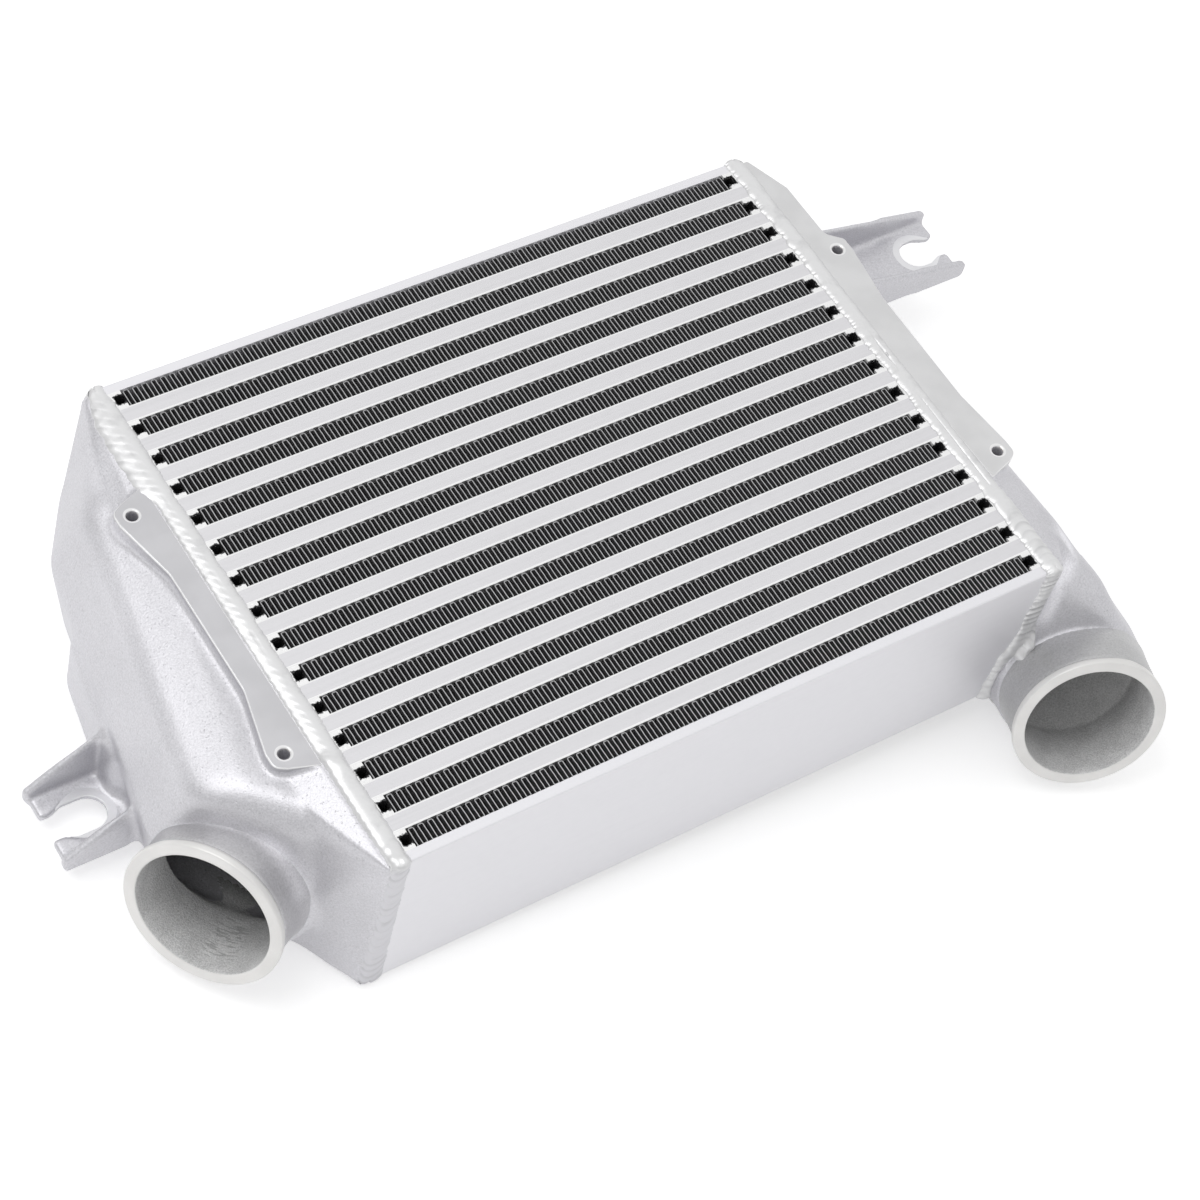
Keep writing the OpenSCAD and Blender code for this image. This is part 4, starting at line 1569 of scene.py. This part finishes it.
@dataclass
class Stage:
    """White floor, soft light and the camera of the photo."""

    tilt: float = 2.45
    key_energy: float = 6.0
    key_size: float = 0.9
    key_place: Triple = (-0.62, 0.20, 1.25)
    world: float = 0.64
    left_low: Triple = (-155.5, 0.0, -91.3)
    floor_white: Triple = (0.9, 0.9, 0.9)
    floor_glow: Triple = (0.42, 0.42, 0.42)
    floor_mirrored: float = 0.8
    lens: float = 95.44
    eye: Triple = (-0.57247, -0.55005, 0.99455)
    right: Triple = (0.82675552, -0.52945963, 0.19012576)
    down: Triple = (-0.34829387, -0.74714548, -0.56609629)
    ahead: Triple = (0.44177674, 0.4018036, -0.8021142)

    def floor(self) -> bpy.types.Object:
        """Make the floor, on which the cooler lies with its weld and its elbow.

        Returns:
            The floor.
        """
        bpy.ops.mesh.primitive_plane_add(size=8.0)
        floor = bpy.context.object
        floor.name = "floor"
        floor.rotation_euler = (0.0, math.radians(self.tilt), 0.0)
        floor.location = Vector(self.left_low) * MM
        material, graph, shader = new_surface("white_floor")
        connect(graph, shader, {"Base Color": self.floor_white, "Roughness": 1.0,
                                "Specular IOR Level": 0.0})
        seen = (graph.ray("Camera") + graph.ray("Transmission")
                + graph.ray("Glossy") * self.floor_mirrored).maths("MINIMUM", 1.0)
        glow = graph.blend(seen, (0.0, 0.0, 0.0), self.floor_glow)
        connect(graph, shader, {"Emission Color": glow, "Emission Strength": 1.0})
        floor.data.materials.append(material)
        return floor

    def light(self) -> None:
        """Set the sky and the soft key lamp."""
        world = bpy.data.worlds.new("studio")
        world.use_nodes = True
        graph = Graph(world.node_tree)
        back = world.node_tree.nodes["Background"]
        camera, glossy = graph.ray("Camera"), graph.ray("Glossy")
        way = graph.node("TexCoord", out="Generated")
        left = graph.part(way, 0).ramp(-0.7, 0.7, 0.66, 1.0)
        high = graph.part(way, 2).ramp(-0.1, 0.8, 0.80, 1.05)
        level = camera + (1.0 - camera) * (glossy * (left * high) + (1.0 - glossy) * self.world)
        connect(graph, back, {"Color": (1.0, 1.0, 1.0), "Strength": level})
        bpy.context.scene.world = world
        data = bpy.data.lights.new("key", "AREA")
        data.energy = self.key_energy
        data.size = self.key_size
        lamp = bpy.data.objects.new("key", data)
        lamp.location = self.key_place
        lamp.rotation_euler = (-Vector(self.key_place)).to_track_quat("-Z", "Y").to_euler()
        bpy.context.scene.collection.objects.link(lamp)
        bpy.context.scene.view_settings.view_transform = "Standard"

    def camera(self) -> None:
        """Set the camera where the photo was taken from."""
        data = bpy.data.cameras.new("photo_camera")
        data.lens = self.lens
        data.sensor_width = 36.0
        data.clip_start = 0.01
        camera = bpy.data.objects.new("photo_camera", data)
        rows = (Vector(self.right), -Vector(self.down), -Vector(self.ahead))
        pose = Matrix(rows).transposed().to_4x4()
        pose.translation = Vector(self.eye)
        camera.matrix_world = pose
        bpy.context.scene.collection.objects.link(camera)
        bpy.context.scene.camera = camera


# Lines on the castings: raised ones, and painted highlights laid along others

RIM_LINE = Ridge(((168.0, -98.2, -5.0), (173.7, -105.3, -11.4), (178.0, -111.5, -18.5),
                  (175.1, -116.3, -21.0), (169.5, -120.0, -25.5), (166.5, -122.1, -33.7),
                  (163.5, -124.1, -43.1)), 1.8, 2.6)
FLASH_LINE = Ridge(((156.5, -126.3, -54.0), (160.4, -125.3, -51.0), (166.3, -126.2, -46.7),
                    (172.8, -128.2, -43.7), (180.0, -130.8, -41.7)), 0.6, 1.0)
# Painted highlight: a light band on the right tank along its rim, from the top down towards the
# neck.
BAND_SHINE = Ridge(((174.8, -94.2, -9.1), (179.1, -100.4, -12.9), (181.0, -104.5, -16.9),
              (176.0, -110.3, -17.8), (170.2, -114.7, -17.6), (165.8, -117.0, -19.6),
              (164.2, -119.0, -27.6), (162.8, -121.4, -36.9), (160.8, -122.8, -44.2)), 1.0, 4.0)
# Painted highlight along the flash line.
FLASH_SHINE = Ridge(FLASH_LINE.points, 1.2, 1.0)
NECK_ROOT = LEFT_PORT.around(((15, -31, 37), (30, -30, 36), (50, -28, 35), (70, -26, 34.5),
                              (90, -23.5, 34), (110, -20.5, 33.5), (130, -18.5, 33),
                              (150, -18.5, 33), (165, -20, 33)))
# Painted highlight round the left neck's root.
NECK_SHINE = Ridge(NECK_ROOT, 1.0, 4.0)
# Painted highlight along the left tank's top ridge.
TOP_SHINE = Ridge(((-160.2, 105.6, -0.1), (-171.9, 79.7, -7.7), (-183.4, 51.3, -11.3),
                   (-189.8, 18.7, -11.6), (-194.8, -14.4, -10.7), (-199.5, -36.4, -10.9),
                   (-203.5, -57.0, -14.0)), 0.5, 6.0)
ELBOW_BACK = Ridge(((183.5, -104.0, -20.3), (184.8, -110.6, -22.0), (186.6, -115.9, -25.6),
                    (188.5, -121.1, -29.5), (190.4, -126.6, -33.7), (193.0, -133.5, -39.5),
                    (196.0, -140.0, -44.5)), 2.4, 12.0, 0.5)


@dataclass
class Cooler:
    """The whole cooler, piece by piece."""

    bodies: dict[Side, bpy.types.Object] = field(default_factory=dict)

    def own(self, piece: bpy.types.Object, slot: str, *nodes: str) -> None:
        """Attach a piece to the root body and hide the CAD nodes it stands for.

        Args:
            piece: the piece.
            slot: its material slot; not used.
            nodes: CAD nodes that it stands for.
        """
        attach(piece, "root")
        if nodes:
            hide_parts(*nodes)
        LOG.info("%s: %d faces", piece.name, len(piece.data.polygons))

    def tanks(self) -> None:
        """Make both tanks with their necks, pads, threads and seats."""
        for port in (LEFT_PORT, RIGHT_PORT):
            side = port.side
            node = side.value + "_tank"
            if side is Side.LEFT:
                tank = CastTank(port, 85.0, -12.0, brushed=(NECK_SHINE, TOP_SHINE))
                neck = PortNeck(port, brushed=(NECK_SHINE,))
                pad = LEFT_PAD
            else:
                tank = CastTank(port, 121.5, 89.5, ridges=(RIM_LINE, FLASH_LINE, ELBOW_BACK),
                                brushed=(BAND_SHINE, FLASH_SHINE), corners=((1, 6.0),))
                neck = PortNeck(port, neck_end=-26.4, flare=0.4, skin=0.9)
                pad = RIGHT_PAD
            self.bodies[side] = tank.build()
            face = FlatCap(node, 0.0, side.value + "_flange_face", pad)
            seat = FlatCap(node, SEAT_Z, side.value + "_fork_seat", SEAT, reach=20.0, edge=0.12,
                           skirt=0.8, lift=0.12)
            for piece in (self.bodies[side], neck.build(), face.build(), seat.build()):
                self.own(piece, "cast_tank", node)
            for k, y in enumerate((-HOLE_Y, HOLE_Y)):
                hole = ThreadedHole(side.sign * HOLE_X, y)
                self.own(hole.build("%s_thread_%d" % (side.value, k + 1)), "cast_tank", node)

    def welds(self) -> None:
        """Make the beads round both seams."""
        left = WeldLoop(Side.LEFT, (
            Knot(0, 4.6, 0.06, 1.2, 3.4), Knot(8, 4.6, 0.18, 1.4, 4.2, wide=1.5, sag=0.0, lean=1.3),
            Knot(16, 4.6, 0.22, 1.6, 4.6, wide=3.4, sag=0.0, lean=1.3),
            Knot(52, 4.4, 0.22, 1.6, 4.6, wide=3.2, sag=0.0, lean=1.3),
            Knot(60, 4.4, 0.17, 1.6, 4.5, sag=0.0, lean=1.2),
            Knot(185, 4.4, 0.17, 1.5, 4.5, sag=0.0, lean=1.2),
            Knot(192, 4.0, 0.08, 1.6, 4.4), Knot(234, 4.0, 0.10, 1.7, 4.4),
            Knot(241, 4.5, 0.20, 1.8, 4.6), Knot(246, 5.3, 0.34, 0.9, 4.3, sag=-0.95, matt=0.9),
            Knot(290, 5.3, 0.30, 0.8, 4.6, sag=-0.95, matt=1.0),
            Knot(330, 5.3, 0.36, 0.9, 5.4, sag=-0.95, matt=1.0),
            Knot(340, 4.2, 0.3, 1.4, 4.5, matt=0.5), Knot(560, 4.5, 0.30, 1.6, 4.6),
            Knot(660, 4.6, 0.30, 1.5, 4.5), Knot(669, 4.6, 0.06, 1.2, 3.6)),
            blobs=(Blob(190.0, 3.0, 3.0, 0.9), Blob(194.0, -1.0, 3.4, 0.8),
                   Blob(237.5, 2.2, 2.4, 0.9), Blob(239.0, -2.0, 2.6, 1.1),
                   Blob(242.5, 0.5, 2.6, 1.0), Blob(233.0, 1.0, 2.2, 0.5)))
        right = WeldLoop(Side.RIGHT, (
            Knot(0, 5.2, 0.08, 1.5, 4.4, 0.3), Knot(195, 5.2, 0.08, 1.5, 4.5, 0.3),
            Knot(208, 4.6, 0.18, 1.6, 4.7, 0.3), Knot(238, 4.6, 0.24, 1.7, 4.7, 0.3),
            Knot(247, 4.0, 0.30, 1.8, 4.4, 0.9, sag=0.4),
            Knot(285, 4.0, 0.34, 1.9, 4.2, 0.9, sag=0.4),
            Knot(294, 5.0, 0.15, 2.4, 4.8, 0.5, shift=-0.8, wide=0.5),
            Knot(302, 5.0, 0.18, 3.0, 5.6, 0.3, shift=-2.2, wide=0.5),
            Knot(331, 5.0, 0.18, 3.0, 6.4, 0.2, shift=-2.6, wide=0.5, sag=-0.3),
            Knot(345, 4.2, 0.3, 1.6, 4.5), Knot(669, 4.8, 0.2, 1.6, 4.5, 0.3)),
            seed=8, fringe=1.3, climb=4.0, top=3.6,
            blobs=(Blob(238.0, 1.0, 3.2, 0.8), Blob(243.0, -0.5, 3.0, 0.9),
                   Blob(292.0, 2.6, 2.6, 1.4), Blob(299.0, 2.2, 2.4, 1.2)))
        for loop in (left, right):
            self.own(loop.build(self.bodies[loop.side]), "weld", loop.side.value + "_weld")

    def fins(self) -> None:
        """Make all the air fins as one piece."""
        whole = FinRow(0).build()
        for i in range(1, ROWS):
            whole = whole.joined(FinRow(i).build())
        piece = whole.object("air_fins", FIN, 60.0)
        self.own(piece, "fin_sheet", *["air_fin_%02d" % (i + 1) for i in range(ROWS)])

    def core(self) -> None:
        """Dress the bars, plates and sheets, which keep their CAD form."""
        finishes = {"tube_bars": BAR, "side_plate": PLATE, "end_bars": END_BAR,
                    "parting_sheets": SHEET, "turbulator": HIDDEN_FIN}
        for name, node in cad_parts.items():
            for kind, finish in finishes.items():
                if kind in name:
                    node.data.materials.clear()
                    node.data.materials.append(finish.build())
                    LOG.info("%s: %s", name, finish.name)


def main() -> None:
    """Build the cooler and its stage."""
    stage = Stage()
    stage.floor()
    stage.light()
    stage.camera()
    cooler = Cooler()
    cooler.core()
    cooler.fins()
    cooler.tanks()
    bpy.context.view_layer.update()
    cooler.welds()


if __name__ == "__main__":
    main()
